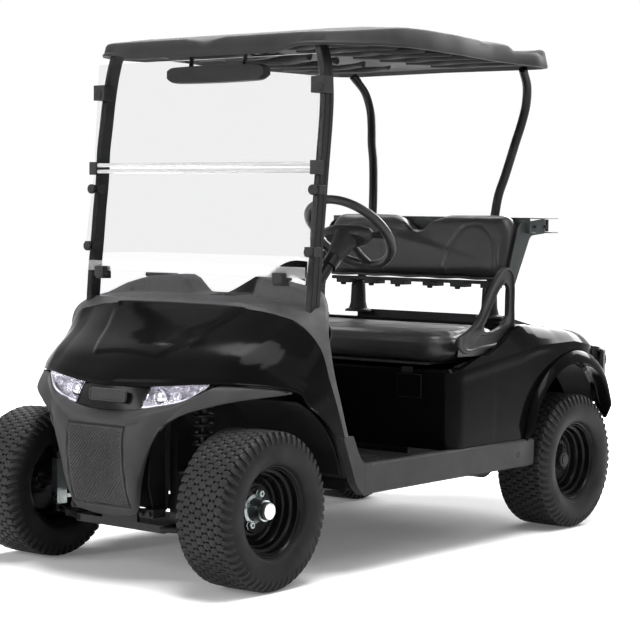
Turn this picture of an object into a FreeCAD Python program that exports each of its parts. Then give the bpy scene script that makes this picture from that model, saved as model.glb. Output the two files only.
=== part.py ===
"""Two-seat electric golf cart. Millimetres, +Z up, the front faces -Y and +X is the cart's left side.
The origin is on the ground under the centre of the overall box."""

import FreeCAD, Part
import math
import os

from FreeCAD import Placement, Rotation, Vector

# running gear
WHEELBASE = 1669.0
FRONT_TRACK = 919.0
REAR_TRACK = 987.0
AXLES_MID_Y = -140.0
TYRE_RADIUS = 245.0
TYRE_WIDTH = 217.0
TREAD_WIDTH = 186.0
RIM_WIDTH = 160.0
RIM_FLANGE_RADIUS = 139.7
BEAD_RADIUS = 127.0
WELL_RADIUS = 104.0
RIM_WALL = 4.0
DISC_OFFSET = 6.0
HUB_RADIUS = 38.0
HUB_REACH = 40.0
HUB_INNER = 52.0
FLANGE_RADIUS = 68.0
FLANGE_WALL = 9.0
STUD_CIRCLE = 101.6
NUT_RADIUS = 10.0
NUT_LENGTH = 16.0
STUD_COUNT = 4
SPINDLE_RADIUS = 14.0
SPINDLE_LENGTH = 66.0
RUNNING_FIT = 0.05
SEAT_GAP = 0.3
OVERRUN = 20.0

FRONT_Y = AXLES_MID_Y - WHEELBASE / 2
REAR_Y = AXLES_MID_Y + WHEELBASE / 2

# steering and front suspension
KINGPIN_INSET = 75.0
KNUCKLE_WIDTH = 26.0
KNUCKLE_DEPTH = 44.0
KNUCKLE_TOP = 80.0
KNUCKLE_BOTTOM = 70.0
STEERING_ARM = 65.0
STEERING_ARM_WALL = 12.0
STEERING_ARM_DROP = 40.0
ROD_RADIUS = 8.0
ROD_CLEARANCE = 6.0
RACK_RADIUS = 24.0
RACK_HALF = 130.0
ARM_RADIUS = 12.0
ARM_PIVOT_X = 190.0
ARM_PIVOT_SPREAD = 105.0
UPPER_SPREAD = 42.0
BALL_RADIUS = 18.0
BALL_HEIGHT = 24.0
COIL_X = 258.0
COIL_RADIUS = 33.0
COIL_WIRE = 6.0
COIL_TURNS = 7
COIL_LENGTH = 190.0
COIL_BASE = 422.0
SHOCK_RADIUS = 12.0
SPRING_SEAT = 26.0
TOWER_WALL = 6.0
TOWER_DEPTH = 102.0
RACK_BRACKET = 24.0
BEAM_FRONT_Y = -1080.0
BUMPER_POST_X = 62.0
BUMPER_POST = 30.0
BUMPER_POST_Z = 290.0
HORN_DEPTH = 22.0

# rear body
BODY_HALF = 562.0
BODY_WALL = 8.0
BODY_FRONT_Y = -62.0
BODY_LENGTH = 1200.0
BODY_BASE = 300.0
BODY_HEIGHT = 480.0
DECK_SHARE = 0.985
SEAT_SHARE = 0.678
RECESS_REAR_Y = 464.0
RECESS_GAP = 6.0
REAR_ARCH_RADIUS = 372.0
TRIM_WIDTH = 28.0
TRIM_PROUD = 34.0
WELL_HALF = 336.0
WELL_FRONT_Y = BODY_FRONT_Y + BODY_LENGTH * 0.5225
WELL_REAR_Y = BODY_FRONT_Y + BODY_LENGTH * 0.935
WELL_FLOOR = 560.0
WELL_WALL = 6.0
HATCH_HALF = 470.0
HATCH_FRONT_Y = -20.0
HATCH_REAR_Y = 380.0
TAIL_LENGTH = 420.0
TAIL_REACH = 81.5
TAIL_BASE = 515.0
TAIL_HEIGHT = 118.0
TAIL_WALL = 10.0
LINER_INNER_X = 344.0
LINER_WALL = 5.0
FRONT_LINER_INNER_X = 232.0

# chassis
RAIL_X = 190.0
RAIL_WIDTH = 50.0
RAIL_BOTTOM = 205.0
RAIL_HEIGHT = 70.0
RAIL_FRONT_Y = -860.0
RAIL_REAR_Y = 1090.0
KICK_Y = 330.0
KICK_RISE = 140.0
KICK_RUN = 190.0
CROSS_SPACING = 545.0
CROSS_COUNT = 2
OUTRIGGER_INSET = 42.0
OUTRIGGER_X = BODY_HALF - OUTRIGGER_INSET
OUTRIGGER_SIZE = 40.0
HITCH_PLATE_HALF = 90.0
HITCH_PLATE_DEPTH = 70.0
HITCH_PLATE_WALL = 12.0
HITCH_BORE_RADIUS = 10.0

# floor and sills
FLOOR_FRONT_Y = -610.0
FLOOR_TOP = 324.0
FLOOR_WALL = 14.0
TOE_RISE = 262.0
TOE_RUN = 96.0
SILL_INSET = 25.0
SILL_X = BODY_HALF - SILL_INSET
SILL_WIDTH = 33.0
SILL_FRONT_Y = -611.0
SILL_REAR_Y = 437.0
SILL_BOTTOM = 252.0
SILL_HEIGHT = 94.0
SILL_POST_WIDTH = 74.0
SILL_POST_LEAN = 118.0

# cowl, bumper and lamps
SKIN = 6.0
COWL_NOSE_Y = -1133.0
COWL_LENGTH = 470.0
COWL_HALF = 572.0
COWL_BASE = 445.0
COWL_HEIGHT = 400.0
ARCH_RADIUS = 338.0
BUMPER_NOSE_Y = -1200.0
BUMPER_LENGTH = 310.0
BUMPER_HALF = 562.0
BUMPER_BASE = 195.0
BUMPER_HEIGHT = 425.0
BUMPER_BULGE = 56.0
GRILLE_HALF = 122.0
GRILLE_BOTTOM = 232.0
GRILLE_TOP = 486.0
LAMP_WALL = 16.0
LAMP_INNER_X = 140.0
LAMP_OUTER_X = 346.0
LAMP_STEPS = 4

# dash
DASH_HALF = 566.0
DASH_WALL = 8.0
DASH_FRONT_Y = -792.0
DASH_DEPTH = 230.0
DASH_BASE = 560.0
DASH_HEIGHT = 320.0
HUMP_INNER_X = -95.0
HUMP_OUTER_X = -440.0
HUMP_RISE = 62.0
HUMP_DEPTH = 130.0
BIN_INNER_X = 20.0
BIN_OUTER_X = 190.0
BIN_DEPTH = 110.0
BIN_DROP = 90.0
BIN_RISE = 46.0

# seat
CUSHION_MARGIN = 42.0
CUSHION_HALF = BODY_HALF - CUSHION_MARGIN
CUSHION_FRONT_Y = -84.0
CUSHION_REAR_Y = 415.0
CUSHION_LIFT = 14.56
CUSHION_BOTTOM = BODY_BASE + BODY_HEIGHT * SEAT_SHARE + CUSHION_LIFT
CUSHION_THICK = 104.0
CUSHION_ROUND = 34.0
CUSHION_TAPER = 68.0
PAN_WALL = 8.0
PAN_INSET = 24.0
LID_HINGE_X = 300.0
LID_HINGE_Y = 425.0
LID_HINGE_RISE = 50.0
LID_HINGE_Z = CUSHION_BOTTOM + LID_HINGE_RISE
LID_EAR = 18.0
LID_EAR_WALL = 14.0
LID_PIN_RADIUS = 5.0
LUG_WIDTH = 10.0
BACK_INSET = 142.0
BACK_HALF = BODY_HALF - BACK_INSET
BACK_HEIGHT = 242.0
BACK_THICK = 66.0
BACK_BOTTOM_Y = 455.0
BACK_BOTTOM_Z = 905.0
BACK_RECLINE = 8.0
BACK_ROUND = 30.0
NOTCH_HALF = 62.0
NOTCH_DEPTH = 46.0
BACK_FRAME_HALF = 240.0
BACK_FRAME_WALL = 10.0
BACK_FRAME_TUBE = 10.0
BACK_FRAME_Z = 1040.0
RESTRAINT_REACH = 12.0
RESTRAINT_X = BODY_HALF + RESTRAINT_REACH
RESTRAINT_WALL = 26.0
RESTRAINT_LENGTH = BODY_LENGTH * 0.415
RESTRAINT_HEIGHT = BODY_HEIGHT * 0.56875
RESTRAINT_BASE = BODY_BASE + BODY_HEIGHT * 0.8
RESTRAINT_FLARE = 11.8
RESTRAINT_FOOT = 60.0

# bag rack
RACK_X = 440.0
RACK_WALL = 5.0
RACK_FOOT_Y = BODY_FRONT_Y + BODY_LENGTH * 0.445
RACK_REACH = 280.0
RACK_REAR_Y = RACK_FOOT_Y + RACK_REACH
RACK_TOP = 1134.0
RACK_CHANNEL = 58.0
RACK_CHANNEL_DEPTH = 34.0

# canopy and struts
CANOPY_FRONT_Y = -716.0
CANOPY_LENGTH = 1380.0
CANOPY_HALF = 603.0
CANOPY_BASE = 1662.0
CANOPY_HEIGHT = 96.0
CANOPY_WALL = 9.0
STRUT_RADIUS = 16.0
STRUT_BEND = 60.0
STRUT_BASE_X = 485.0
STRUT_BASE_Y = -751.0
STRUT_KNEE_X = 480.0
STRUT_KNEE_Y = -652.0
STRUT_KNEE_Z = 1540.0
STRUT_TOP_X = 436.0
STRUT_TOP_Y = -648.0
REAR_STRUT_FOOT_X = 305.0
REAR_STRUT_FOOT_Y = BODY_FRONT_Y + BODY_LENGTH * 0.49333
REAR_STRUT_FOOT_RISE = 90.0
REAR_STRUT_LOW_X = 270.0
REAR_STRUT_LOW_Y = 562.0
REAR_STRUT_LOW_Z = 965.0
REAR_STRUT_KNEE_X = 368.0
REAR_STRUT_KNEE_Y = 680.0
REAR_STRUT_KNEE_Z = 1590.0
REAR_STRUT_TOP_X = 402.0
REAR_STRUT_TOP_Y = 585.0
RIB_WIDTH = 60.0

# windshield and mirror
GLASS_HALF = 492.0
GLASS_WALL = 6.0
GLASS_LOW_Y = -778.0
GLASS_LOW_Z = 862.0
GLASS_HINGE_Y = -712.0
GLASS_HINGE_Z = 1288.0
GLASS_TOP_Y = -690.0
GLASS_TOP_Z = 1640.0
HINGE_RADIUS = 7.0
CLAMP_SIZE = 30.0
KNOB_RADIUS = 13.0
KNOB_LENGTH = 12.0
LOWER_CLAMP_Z = 944.0
LOWER_KNOB_Z = 1024.0
UPPER_KNOB_Z = 1218.0
UPPER_CLAMP_Z = 1530.0
MIRROR_HALF = 216.0
MIRROR_Y = -660.0
MIRROR_BASE = 1562.0
MIRROR_HEIGHT = 66.0
MIRROR_DEPTH = 36.0
MIRROR_STEM_X = 120.0

# steering wheel, column and pedals
WHEEL_X = 250.0
WHEEL_Y = -240.0
WHEEL_Z = 1080.0
WHEEL_RADIUS = 156.0
WHEEL_GRIP = 14.0
WHEEL_TILT = 45.0
WHEEL_DISH = 52.0
WHEEL_BOSS = 46.0
WHEEL_BOSS_LENGTH = 44.0
SPOKE_WALL = 12.0
COLUMN_RADIUS = 19.0
COLUMN_LENGTH = 560.0
SHAFT_RADIUS = 9.0
SHAFT_REACH = 30.0
PEDAL_X = 250.0
PEDAL_SPACING = 130.0
PEDAL_WIDTH = 84.0
PEDAL_HEIGHT = 120.0
PEDAL_WALL = 10.0
PEDAL_LEVER = 10.0

# rear axle, springs, battery
AXLE_TUBE_RADIUS = 34.0
GEARBOX_RADIUS = 92.0
GEARBOX_WIDTH = 130.0
MOTOR_RADIUS = 86.0
MOTOR_LENGTH = 210.0
LEAF_WIDTH = 50.0
LEAF_THICK = 26.0
LEAF_HALF = 290.0
LEAF_X = 305.0
LEAF_RISE = 62.0
PACK_HALF = 330.0
PACK_FRONT_Y = 0.0
PACK_REAR_Y = 290.0
PACK_HEIGHT = 270.0


def box(x0, x1, y0, y1, z0, z1):
    """A box between two corners."""
    return Part.makeBox(x1 - x0, y1 - y0, z1 - z0, Vector(x0, y0, z0))


def closed(points):
    """A flat face inside a closed row of points."""
    return Part.Face(Part.makePolygon(points + [points[0]]))


def slab_x(outline, x0, x1):
    """The (y, z) outline stretched from x0 to x1."""
    return closed([Vector(x0, y, z) for y, z in outline]).extrude(Vector(x1 - x0, 0, 0))


def slab_y(outline, y0, y1):
    """The (x, z) outline stretched from y0 to y1."""
    return closed([Vector(x, y0, z) for x, z in outline]).extrude(Vector(0, y1 - y0, 0))


def slab_z(outline, z0, z1):
    """The (x, y) outline stretched from z0 to z1."""
    return closed([Vector(x, y, z0) for x, y in outline]).extrude(Vector(0, 0, z1 - z0))


def turned_x(profile, centre):
    """The (x, radius) profile turned about the line along X through the centre."""
    face = closed([Vector(x, r, 0) for x, r in profile])
    solid = face.revolve(Vector(0, 0, 0), Vector(1, 0, 0), 360)
    solid.translate(centre)
    return solid


def rod(start, end, radius):
    """A round bar from one point to another."""
    line = end - start
    return Part.makeCylinder(radius, line.Length, start, line)


def bent_bar(points, radius, bend):
    """A round bar along straight runs joined by tangent bends."""
    edges = []
    last = points[0]
    for here, ahead in zip(points[1:-1], points[2:]):
        back = (last - here).normalize()
        front = (ahead - here).normalize()
        half = back.getAngle(front) / 2
        reach = bend / math.tan(half)
        first = here + back * reach
        end = here + front * reach
        middle = (back + front).normalize()
        centre = here + middle * (bend / math.sin(half))
        crown = centre - middle * bend
        edges.append(Part.makeLine(last, first))
        edges.append(Part.Arc(first, crown, end).toShape())
        last = end
    edges.append(Part.makeLine(last, points[-1]))
    path = Part.Wire(edges)
    ring = Part.Wire([Part.makeCircle(radius, points[0], points[1] - points[0])])
    return path.makePipeShell([ring], True, False)


def mirrored(shape):
    """The shape's twin on the other side of the cart."""
    return shape.mirror(Vector(0, 0, 0), Vector(1, 0, 0))


def both_sides(shape):
    """A shape and its twin, as solids of one node."""
    return Part.makeCompound([shape, mirrored(shape)])


def fused(first, *others):
    """Several touching shapes made one."""
    return first.fuse(list(others)).removeSplitter()


def rounded(shape, radius, wanted):
    """The shape with the edges that wanted(edge) picks rounded."""
    edges = [edge for edge in shape.Edges if wanted(edge)]
    return shape.makeFillet(radius, edges)


def along(axis):
    """Picks straight edges that run along an axis."""
    def wanted(edge):
        if not isinstance(edge.Curve, Part.Line):
            return False
        return abs(abs(edge.Curve.Direction.dot(axis)) - 1) < 1e-6
    return wanted


def normals(grid):
    """The outward direction at each point of a grid, from its neighbours."""
    found = []
    for i, row in enumerate(grid):
        line = []
        for j, _ in enumerate(row):
            up = grid[min(i + 1, len(grid) - 1)][j] - grid[max(i - 1, 0)][j]
            over = row[min(j + 1, len(row) - 1)] - row[max(j - 1, 0)]
            line.append(up.cross(over).normalize())
        found.append(line)
    return found


def skin(grid, wall):
    """A smooth panel through a grid of points, thickened inwards by the wall."""
    inner = [
        [point - normal * wall for point, normal in zip(row, line)]
        for row, line in zip(grid, normals(grid))
    ]
    patches = []
    for points in (grid, inner):
        patch = Part.BSplineSurface()
        patch.interpolate(points)
        patches.append(patch)
    faces = [patch.toShape() for patch in patches]
    u0, u1, v0, v1 = patches[0].bounds()
    p0, p1, q0, q1 = patches[1].bounds()
    rims = [
        (patches[0].uIso(u0), patches[1].uIso(p0)),
        (patches[0].uIso(u1), patches[1].uIso(p1)),
        (patches[0].vIso(v0), patches[1].vIso(q0)),
        (patches[0].vIso(v1), patches[1].vIso(q1)),
    ]
    for outer, under in rims:
        faces.append(Part.makeRuledSurface(outer.toShape(), under.toShape()))
    shell = Part.makeShell(faces)
    shell.sewShape()
    solid = Part.makeSolid(Part.Shell(shell.Faces))
    if solid.Volume < 0:
        solid.reverse()
    return solid


def symmetric(columns):
    """A half grid from the centre outwards, with its mirror image in front of it."""
    left = [[Vector(-p.x, p.y, p.z) for p in column] for column in columns[:0:-1]]
    return left + columns


def front_wheel_centre():
    return Vector(FRONT_TRACK / 2, FRONT_Y, TYRE_RADIUS)


def rear_wheel_centre():
    return Vector(REAR_TRACK / 2, REAR_Y, TYRE_RADIUS)


def tyre(centre):
    half = TYRE_WIDTH / 2
    tread = TREAD_WIDTH / 2
    bead = RIM_WIDTH / 2 - RIM_WALL - SEAT_GAP
    height = TYRE_RADIUS - BEAD_RADIUS
    side_shares = [(0.95, 0.30), (1.0, 0.47), (0.99, 0.66), (0.93, 0.84)]
    shoulder_share = 0.955
    side = [(half * w, BEAD_RADIUS + height * h) for w, h in side_shares]
    crown = [(tread, BEAD_RADIUS + height * shoulder_share), (tread / 2, TYRE_RADIUS)]
    right = [(bead, BEAD_RADIUS + SEAT_GAP), (bead, RIM_FLANGE_RADIUS + SEAT_GAP)] + side + crown
    left = [(-x, r) for x, r in reversed(right)]
    return turned_x(right + left, centre)


def rim(centre, outward):
    """The stepped steel wheel, its hub and its four studs, with the hub bored for its spindle."""
    edge = RIM_WIDTH / 2
    seat = edge - RIM_WALL
    well = RIM_WIDTH / 4
    outer = [
        (-edge, RIM_FLANGE_RADIUS), (-seat, RIM_FLANGE_RADIUS), (-seat, BEAD_RADIUS),
        (-well, BEAD_RADIUS - RIM_WALL), (-well / 2, WELL_RADIUS), (well / 2, WELL_RADIUS),
        (well, BEAD_RADIUS - RIM_WALL), (seat, BEAD_RADIUS), (seat, RIM_FLANGE_RADIUS),
        (edge, RIM_FLANGE_RADIUS),
    ]
    inner = [
        (edge, BEAD_RADIUS), (seat, BEAD_RADIUS - RIM_WALL), (well, BEAD_RADIUS - 2 * RIM_WALL),
        (well / 2, WELL_RADIUS - RIM_WALL), (-well / 2, WELL_RADIUS - RIM_WALL),
        (-well, BEAD_RADIUS - 2 * RIM_WALL), (-seat, BEAD_RADIUS - RIM_WALL), (-edge, BEAD_RADIUS),
    ]
    barrel = turned_x(outer + inner, Vector(0, 0, 0))
    disc_bore = HUB_RADIUS - RIM_WALL
    disc = turned_x([
        (DISC_OFFSET - RIM_WALL, disc_bore), (DISC_OFFSET - RIM_WALL, WELL_RADIUS - RIM_WALL / 2),
        (DISC_OFFSET, WELL_RADIUS - RIM_WALL / 2), (DISC_OFFSET, disc_bore),
    ], Vector(0, 0, 0))
    back = DISC_OFFSET - RIM_WALL
    bore = SPINDLE_RADIUS + RUNNING_FIT
    tip = SPINDLE_LENGTH - HUB_INNER + OVERRUN
    hub = turned_x([
        (-HUB_INNER, bore), (-HUB_INNER, HUB_RADIUS), (back - FLANGE_WALL, HUB_RADIUS),
        (back - FLANGE_WALL, FLANGE_RADIUS), (back, FLANGE_RADIUS), (back, HUB_RADIUS),
        (HUB_REACH, HUB_RADIUS * 0.8), (HUB_REACH, 0), (tip, 0), (tip, bore),
    ], Vector(0, 0, 0))
    pieces = [disc, hub]
    for i in range(STUD_COUNT):
        turn = math.radians(360 * (i + 0.5) / STUD_COUNT)
        foot = Vector(0, math.cos(turn), math.sin(turn)) * (STUD_CIRCLE / 2)
        tip_x = DISC_OFFSET + NUT_LENGTH
        pieces.append(rod(foot + Vector(back, 0, 0), foot + Vector(tip_x, 0, 0), NUT_RADIUS))
    solid = fused(barrel, *pieces)
    if outward < 0:
        solid = mirrored(solid)
    solid.translate(centre)
    return solid


def kingpin_x():
    return FRONT_TRACK / 2 - KINGPIN_INSET


def knuckle():
    """The left knuckle: upright, spindle and steering arm."""
    x = kingpin_x()
    z = TYRE_RADIUS
    half = KNUCKLE_DEPTH / 2
    upright = box(x - KNUCKLE_WIDTH / 2, x + KNUCKLE_WIDTH / 2, FRONT_Y - half, FRONT_Y + half,
                  z - KNUCKLE_BOTTOM, z + KNUCKLE_TOP)
    root = Vector(x, FRONT_Y, z)
    end = Vector(FRONT_TRACK / 2 - HUB_INNER + SPINDLE_LENGTH, FRONT_Y, z)
    collar = rod(root, Vector(FRONT_TRACK / 2 - HUB_INNER - 2 * SEAT_GAP, FRONT_Y, z), half)
    top = z - STEERING_ARM_DROP
    eye = Vector(x, FRONT_Y + STEERING_ARM, top - STEERING_ARM_WALL)
    arm = box(x - KNUCKLE_WIDTH / 2, x + KNUCKLE_WIDTH / 2, FRONT_Y, FRONT_Y + STEERING_ARM,
              top - STEERING_ARM_WALL, top)
    tip = Part.makeCylinder(KNUCKLE_WIDTH / 2, STEERING_ARM_WALL, eye)
    return fused(upright, rod(root, end, SPINDLE_RADIUS), collar, arm, tip)


def tie_rods():
    """The rack bar and its two rods, which slide together."""
    rack = rack_centre()
    reach = Vector(kingpin_x(), 0, 0)
    bar = rod(rack - reach, rack + reach, ROD_RADIUS)
    eyes = [
        Part.makeCylinder(KNUCKLE_WIDTH / 2, 2 * ROD_RADIUS, rack + end - Vector(0, 0, ROD_RADIUS))
        for end in (reach, reach * -1)
    ]
    return fused(bar, *eyes)


def front_suspension():
    """The front crossmember with its spring towers and rack housing, and the upper and lower arms."""
    z_low = TYRE_RADIUS - KNUCKLE_BOTTOM - BALL_HEIGHT / 2 - SEAT_GAP
    z_high = TYRE_RADIUS + KNUCKLE_TOP + BALL_HEIGHT / 2 + SEAT_GAP
    low, high = z_low - ARM_RADIUS, z_low + ARM_RADIUS
    shelf = COIL_BASE + COIL_LENGTH + SEAT_GAP
    tube = ARM_RADIUS * 0.8
    rail_end = RAIL_FRONT_Y - SEAT_GAP
    inner, outer = RAIL_X - RAIL_WIDTH / 2, RAIL_X + RAIL_WIDTH / 2
    pieces = [box(-ARM_PIVOT_X, ARM_PIVOT_X, BEAM_FRONT_Y, rail_end, low, high)]
    side = [box(inner, outer, rail_end - HORN_DEPTH, rail_end, low, RAIL_BOTTOM + RAIL_HEIGHT)]
    for z, front, rear in ((z_low, ARM_PIVOT_SPREAD, STEERING_ARM), (z_high, UPPER_SPREAD, UPPER_SPREAD)):
        ball = Vector(kingpin_x(), FRONT_Y, z)
        for y in (FRONT_Y - front, FRONT_Y + rear):
            side.append(rod(Vector(ARM_PIVOT_X - ARM_RADIUS, y, z), ball, tube))
        side.append(Part.makeCylinder(BALL_RADIUS, BALL_HEIGHT, ball - Vector(0, 0, BALL_HEIGHT / 2)))
    seat_share = (kingpin_x() - COIL_X) / (kingpin_x() - ARM_PIVOT_X)
    side.append(box(COIL_X - SPRING_SEAT, COIL_X + SPRING_SEAT, FRONT_Y - ARM_PIVOT_SPREAD * seat_share,
                    FRONT_Y + STEERING_ARM * seat_share, z_low - tube, z_low + tube))
    half = TOWER_DEPTH / 2
    side.append(box(ARM_PIVOT_X - ARM_RADIUS - 2 * TOWER_WALL, ARM_PIVOT_X + TOWER_WALL,
                    FRONT_Y - half, FRONT_Y + half, z_low, shelf + TOWER_WALL))
    side.append(box(ARM_PIVOT_X - ARM_RADIUS, COIL_X + COIL_RADIUS, FRONT_Y - COIL_RADIUS,
                    FRONT_Y + COIL_RADIUS, shelf, shelf + TOWER_WALL))
    rack = rack_centre()
    side.append(box(RACK_HALF - RACK_BRACKET, RACK_HALF, rack.y - RACK_BRACKET / 2, rack.y + RACK_BRACKET / 2,
                    z_low, rack.z))
    for piece in side:
        pieces += [piece, mirrored(piece)]
    reach = Vector(RACK_HALF, 0, 0)
    pieces.append(rod(rack - reach, rack + reach, RACK_RADIUS))
    post = [BUMPER_POST_X - BUMPER_POST / 2, BUMPER_POST_X + BUMPER_POST / 2]
    top = BUMPER_POST_Z + BUMPER_POST / 2
    plate = box(-post[1], post[1], BEAM_FRONT_Y, BEAM_FRONT_Y + TOWER_WALL * 2, low, top)
    arm = box(*post, BUMPER_NOSE_Y, BEAM_FRONT_Y + TOWER_WALL, BUMPER_POST_Z - BUMPER_POST / 2, top)
    behind = max(arm.cut(bumper_skin()).Solids, key=lambda solid: solid.BoundBox.YMax)
    behind.translate(Vector(0, SEAT_GAP, 0))
    whole = fused(pieces[0], *pieces[1:], plate, behind, mirrored(behind))
    wide = Vector(kingpin_x(), 0, 0)
    return whole.cut(rod(rack - wide, rack + wide, ROD_RADIUS + RUNNING_FIT))


def rack_centre():
    """The middle of the steering rack."""
    return Vector(0, FRONT_Y + STEERING_ARM, TYRE_RADIUS - STEERING_ARM_DROP + ROD_CLEARANCE + ROD_RADIUS)


def front_springs():
    """Coil-over shocks: a body with its coils as a stack of rings on it."""
    arms = TYRE_RADIUS - KNUCKLE_BOTTOM - BALL_HEIGHT / 2
    foot = Vector(COIL_X, FRONT_Y, arms + ARM_RADIUS * 0.8)
    base = Vector(COIL_X, FRONT_Y, COIL_BASE)
    body = rod(foot, base + Vector(0, 0, COIL_LENGTH), SHOCK_RADIUS)
    pieces = []
    for i in range(COIL_TURNS):
        height = (COIL_LENGTH - 2 * COIL_WIRE) * i / (COIL_TURNS - 1) + COIL_WIRE
        ring = Part.makeTorus(COIL_RADIUS - COIL_WIRE, COIL_WIRE, base + Vector(0, 0, height))
        pieces.append(ring)
        arm = Vector(COIL_RADIUS - COIL_WIRE, 0, 0)
        centre = base + Vector(0, 0, height)
        pieces.append(rod(centre - arm, centre + arm, COIL_WIRE / 2))
    return both_sides(fused(body, *pieces))


def frame():
    """Two rails that kick up over the rear axle, crossmembers, outriggers and the hitch plate."""
    top = RAIL_BOTTOM + RAIL_HEIGHT
    rails = []
    outline = [
        (RAIL_FRONT_Y, RAIL_BOTTOM), (KICK_Y, RAIL_BOTTOM), (KICK_Y + KICK_RUN, RAIL_BOTTOM + KICK_RISE),
        (RAIL_REAR_Y, RAIL_BOTTOM + KICK_RISE), (RAIL_REAR_Y, top + KICK_RISE),
        (KICK_Y + KICK_RUN - KICK_RISE / 4, top + KICK_RISE), (KICK_Y - KICK_RISE / 4, top),
        (RAIL_FRONT_Y, top),
    ]
    for x in (-RAIL_X, RAIL_X):
        rails.append(slab_x(outline, x - RAIL_WIDTH / 2, x + RAIL_WIDTH / 2))
    pieces = []
    for i in range(CROSS_COUNT):
        y = FLOOR_FRONT_Y + OVERRUN + CROSS_SPACING * i
        pieces.append(box(-OUTRIGGER_X, OUTRIGGER_X, y, y + OUTRIGGER_SIZE, top - OUTRIGGER_SIZE / 4,
                          FLOOR_TOP - FLOOR_WALL - SEAT_GAP))
    rear_low = RAIL_BOTTOM + KICK_RISE
    pieces.append(box(-RAIL_X, RAIL_X, RAIL_REAR_Y - OUTRIGGER_SIZE, RAIL_REAR_Y, rear_low, top + KICK_RISE))
    plate = box(-HITCH_PLATE_HALF, HITCH_PLATE_HALF, RAIL_REAR_Y - OUTRIGGER_SIZE,
                RAIL_REAR_Y + HITCH_PLATE_DEPTH, rear_low, rear_low + HITCH_PLATE_WALL)
    bore_at = Vector(0, RAIL_REAR_Y + HITCH_PLATE_DEPTH / 2, rear_low - OVERRUN)
    bore = Part.makeCylinder(HITCH_BORE_RADIUS, HITCH_PLATE_WALL + 2 * OVERRUN, bore_at)
    return fused(rails[0], rails[1], *pieces, plate.cut(bore))


def main_solid(shape):
    """The largest solid of a cut, without its slivers."""
    return max(shape.Solids, key=lambda solid: solid.Volume)


def cowl_columns():
    """The cowl's left half as columns from its front edge up and back, as shares of its box."""
    shares = [
        [(0.0, 0.0, 0.40), (0.0, 0.06, 0.52), (0.0, 0.165, 0.65), (0.0, 0.42, 0.80), (0.0, 0.715, 1.0)],
        [(0.27, 0.055, 0.41), (0.27, 0.11, 0.53), (0.26, 0.19, 0.64), (0.27, 0.42, 0.79), (0.27, 0.715, 1.0)],
        [(0.53, 0.145, 0.44), (0.52, 0.19, 0.53), (0.50, 0.26, 0.63), (0.50, 0.46, 0.78), (0.50, 0.70, 0.99)],
        [(0.72, 0.26, 0.445), (0.72, 0.31, 0.525), (0.71, 0.38, 0.62), (0.71, 0.55, 0.76), (0.71, 0.73, 0.95)],
        [(0.87, 0.41, 0.43), (0.87, 0.45, 0.50), (0.86, 0.50, 0.57), (0.86, 0.62, 0.70), (0.87, 0.74, 0.87)],
        [
            (0.96, 0.56, 0.385), (0.96, 0.59, 0.435), (0.955, 0.63, 0.48), (0.955, 0.70, 0.58),
            (0.965, 0.79, 0.70),
        ],
        [
            (0.995, 0.60, 0.31), (0.995, 0.65, 0.34), (0.995, 0.71, 0.38), (0.995, 0.78, 0.42),
            (0.995, 0.84, 0.46),
        ],
        [(1.0, 0.68, 0.20), (1.0, 0.74, 0.21), (1.0, 0.80, 0.22), (1.0, 0.86, 0.23), (1.0, 0.92, 0.24)],
        [(1.0, 0.84, 0.0), (1.0, 0.88, 0.0), (1.0, 0.92, 0.0), (1.0, 0.96, 0.0), (1.0, 1.0, 0.0)],
    ]
    return [
        [
            Vector(x * COWL_HALF, COWL_NOSE_Y + y * COWL_LENGTH, COWL_BASE + z * COWL_HEIGHT)
            for x, y, z in column
        ]
        for column in shares
    ]


def cowl_skin():
    return skin(symmetric(cowl_columns()), SKIN)


def front_cowl():
    """The hood and wings with the front wheel arches cut out."""
    shell = cowl_skin()
    for side in (-1, 1):
        start = Vector(side * COWL_HALF * 0.8, FRONT_Y, TYRE_RADIUS)
        end = Vector(side * (COWL_HALF + OVERRUN), FRONT_Y, TYRE_RADIUS)
        shell = shell.cut(rod(start, end, ARCH_RADIUS))
    return shell


def bumper_columns():
    """The bumper's left half: each column runs from its top edge to its bottom edge with a bulge between."""
    top_shares = [
        (0.0, 0.174, 0.776), (0.107, 0.18, 0.78), (0.214, 0.194, 0.793), (0.356, 0.24, 0.835),
        (0.48, 0.33, 0.87), (0.587, 0.44, 0.94), (0.658, 0.535, 0.99), (0.765, 0.66, 0.99),
        (0.872, 0.83, 0.977), (0.96, 0.96, 0.951),
    ]
    low_shares = [
        (0.0, 0.222, 0.0), (0.125, 0.21, 0.012), (0.25, 0.187, 0.064), (0.292, 0.164, 0.275),
        (0.338, 0.155, 0.473), (0.409, 0.168, 0.67), (0.534, 0.24, 0.788), (0.694, 0.42, 0.864),
        (0.836, 0.69, 0.911), (0.957, 0.945, 0.94),
    ]
    bulge_shares = [1.0, 1.0, 0.94, 0.72, 0.5, 0.34, 0.2, 0.1, 0.04, 0.0]
    row_shares = [(0.0, 0.0), (0.06, 0.42), (0.13, 0.82), (0.3, 1.0), (0.6, 0.86), (0.85, 0.5), (1.0, 0.0)]
    columns = []
    for top, low, bulge in zip(top_shares, low_shares, bulge_shares):
        start, end = [
            Vector(x * BUMPER_HALF, BUMPER_NOSE_Y + y * BUMPER_LENGTH, BUMPER_BASE + z * BUMPER_HEIGHT)
            for x, y, z in (top, low)
        ]
        columns.append([
            end + (start - end) * (1 - down) - Vector(0, bulge * out * BUMPER_BULGE, 0)
            for down, out in reversed(row_shares)
        ])
    return columns


def bumper_skin():
    return skin(symmetric(bumper_columns()), SKIN)


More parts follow.
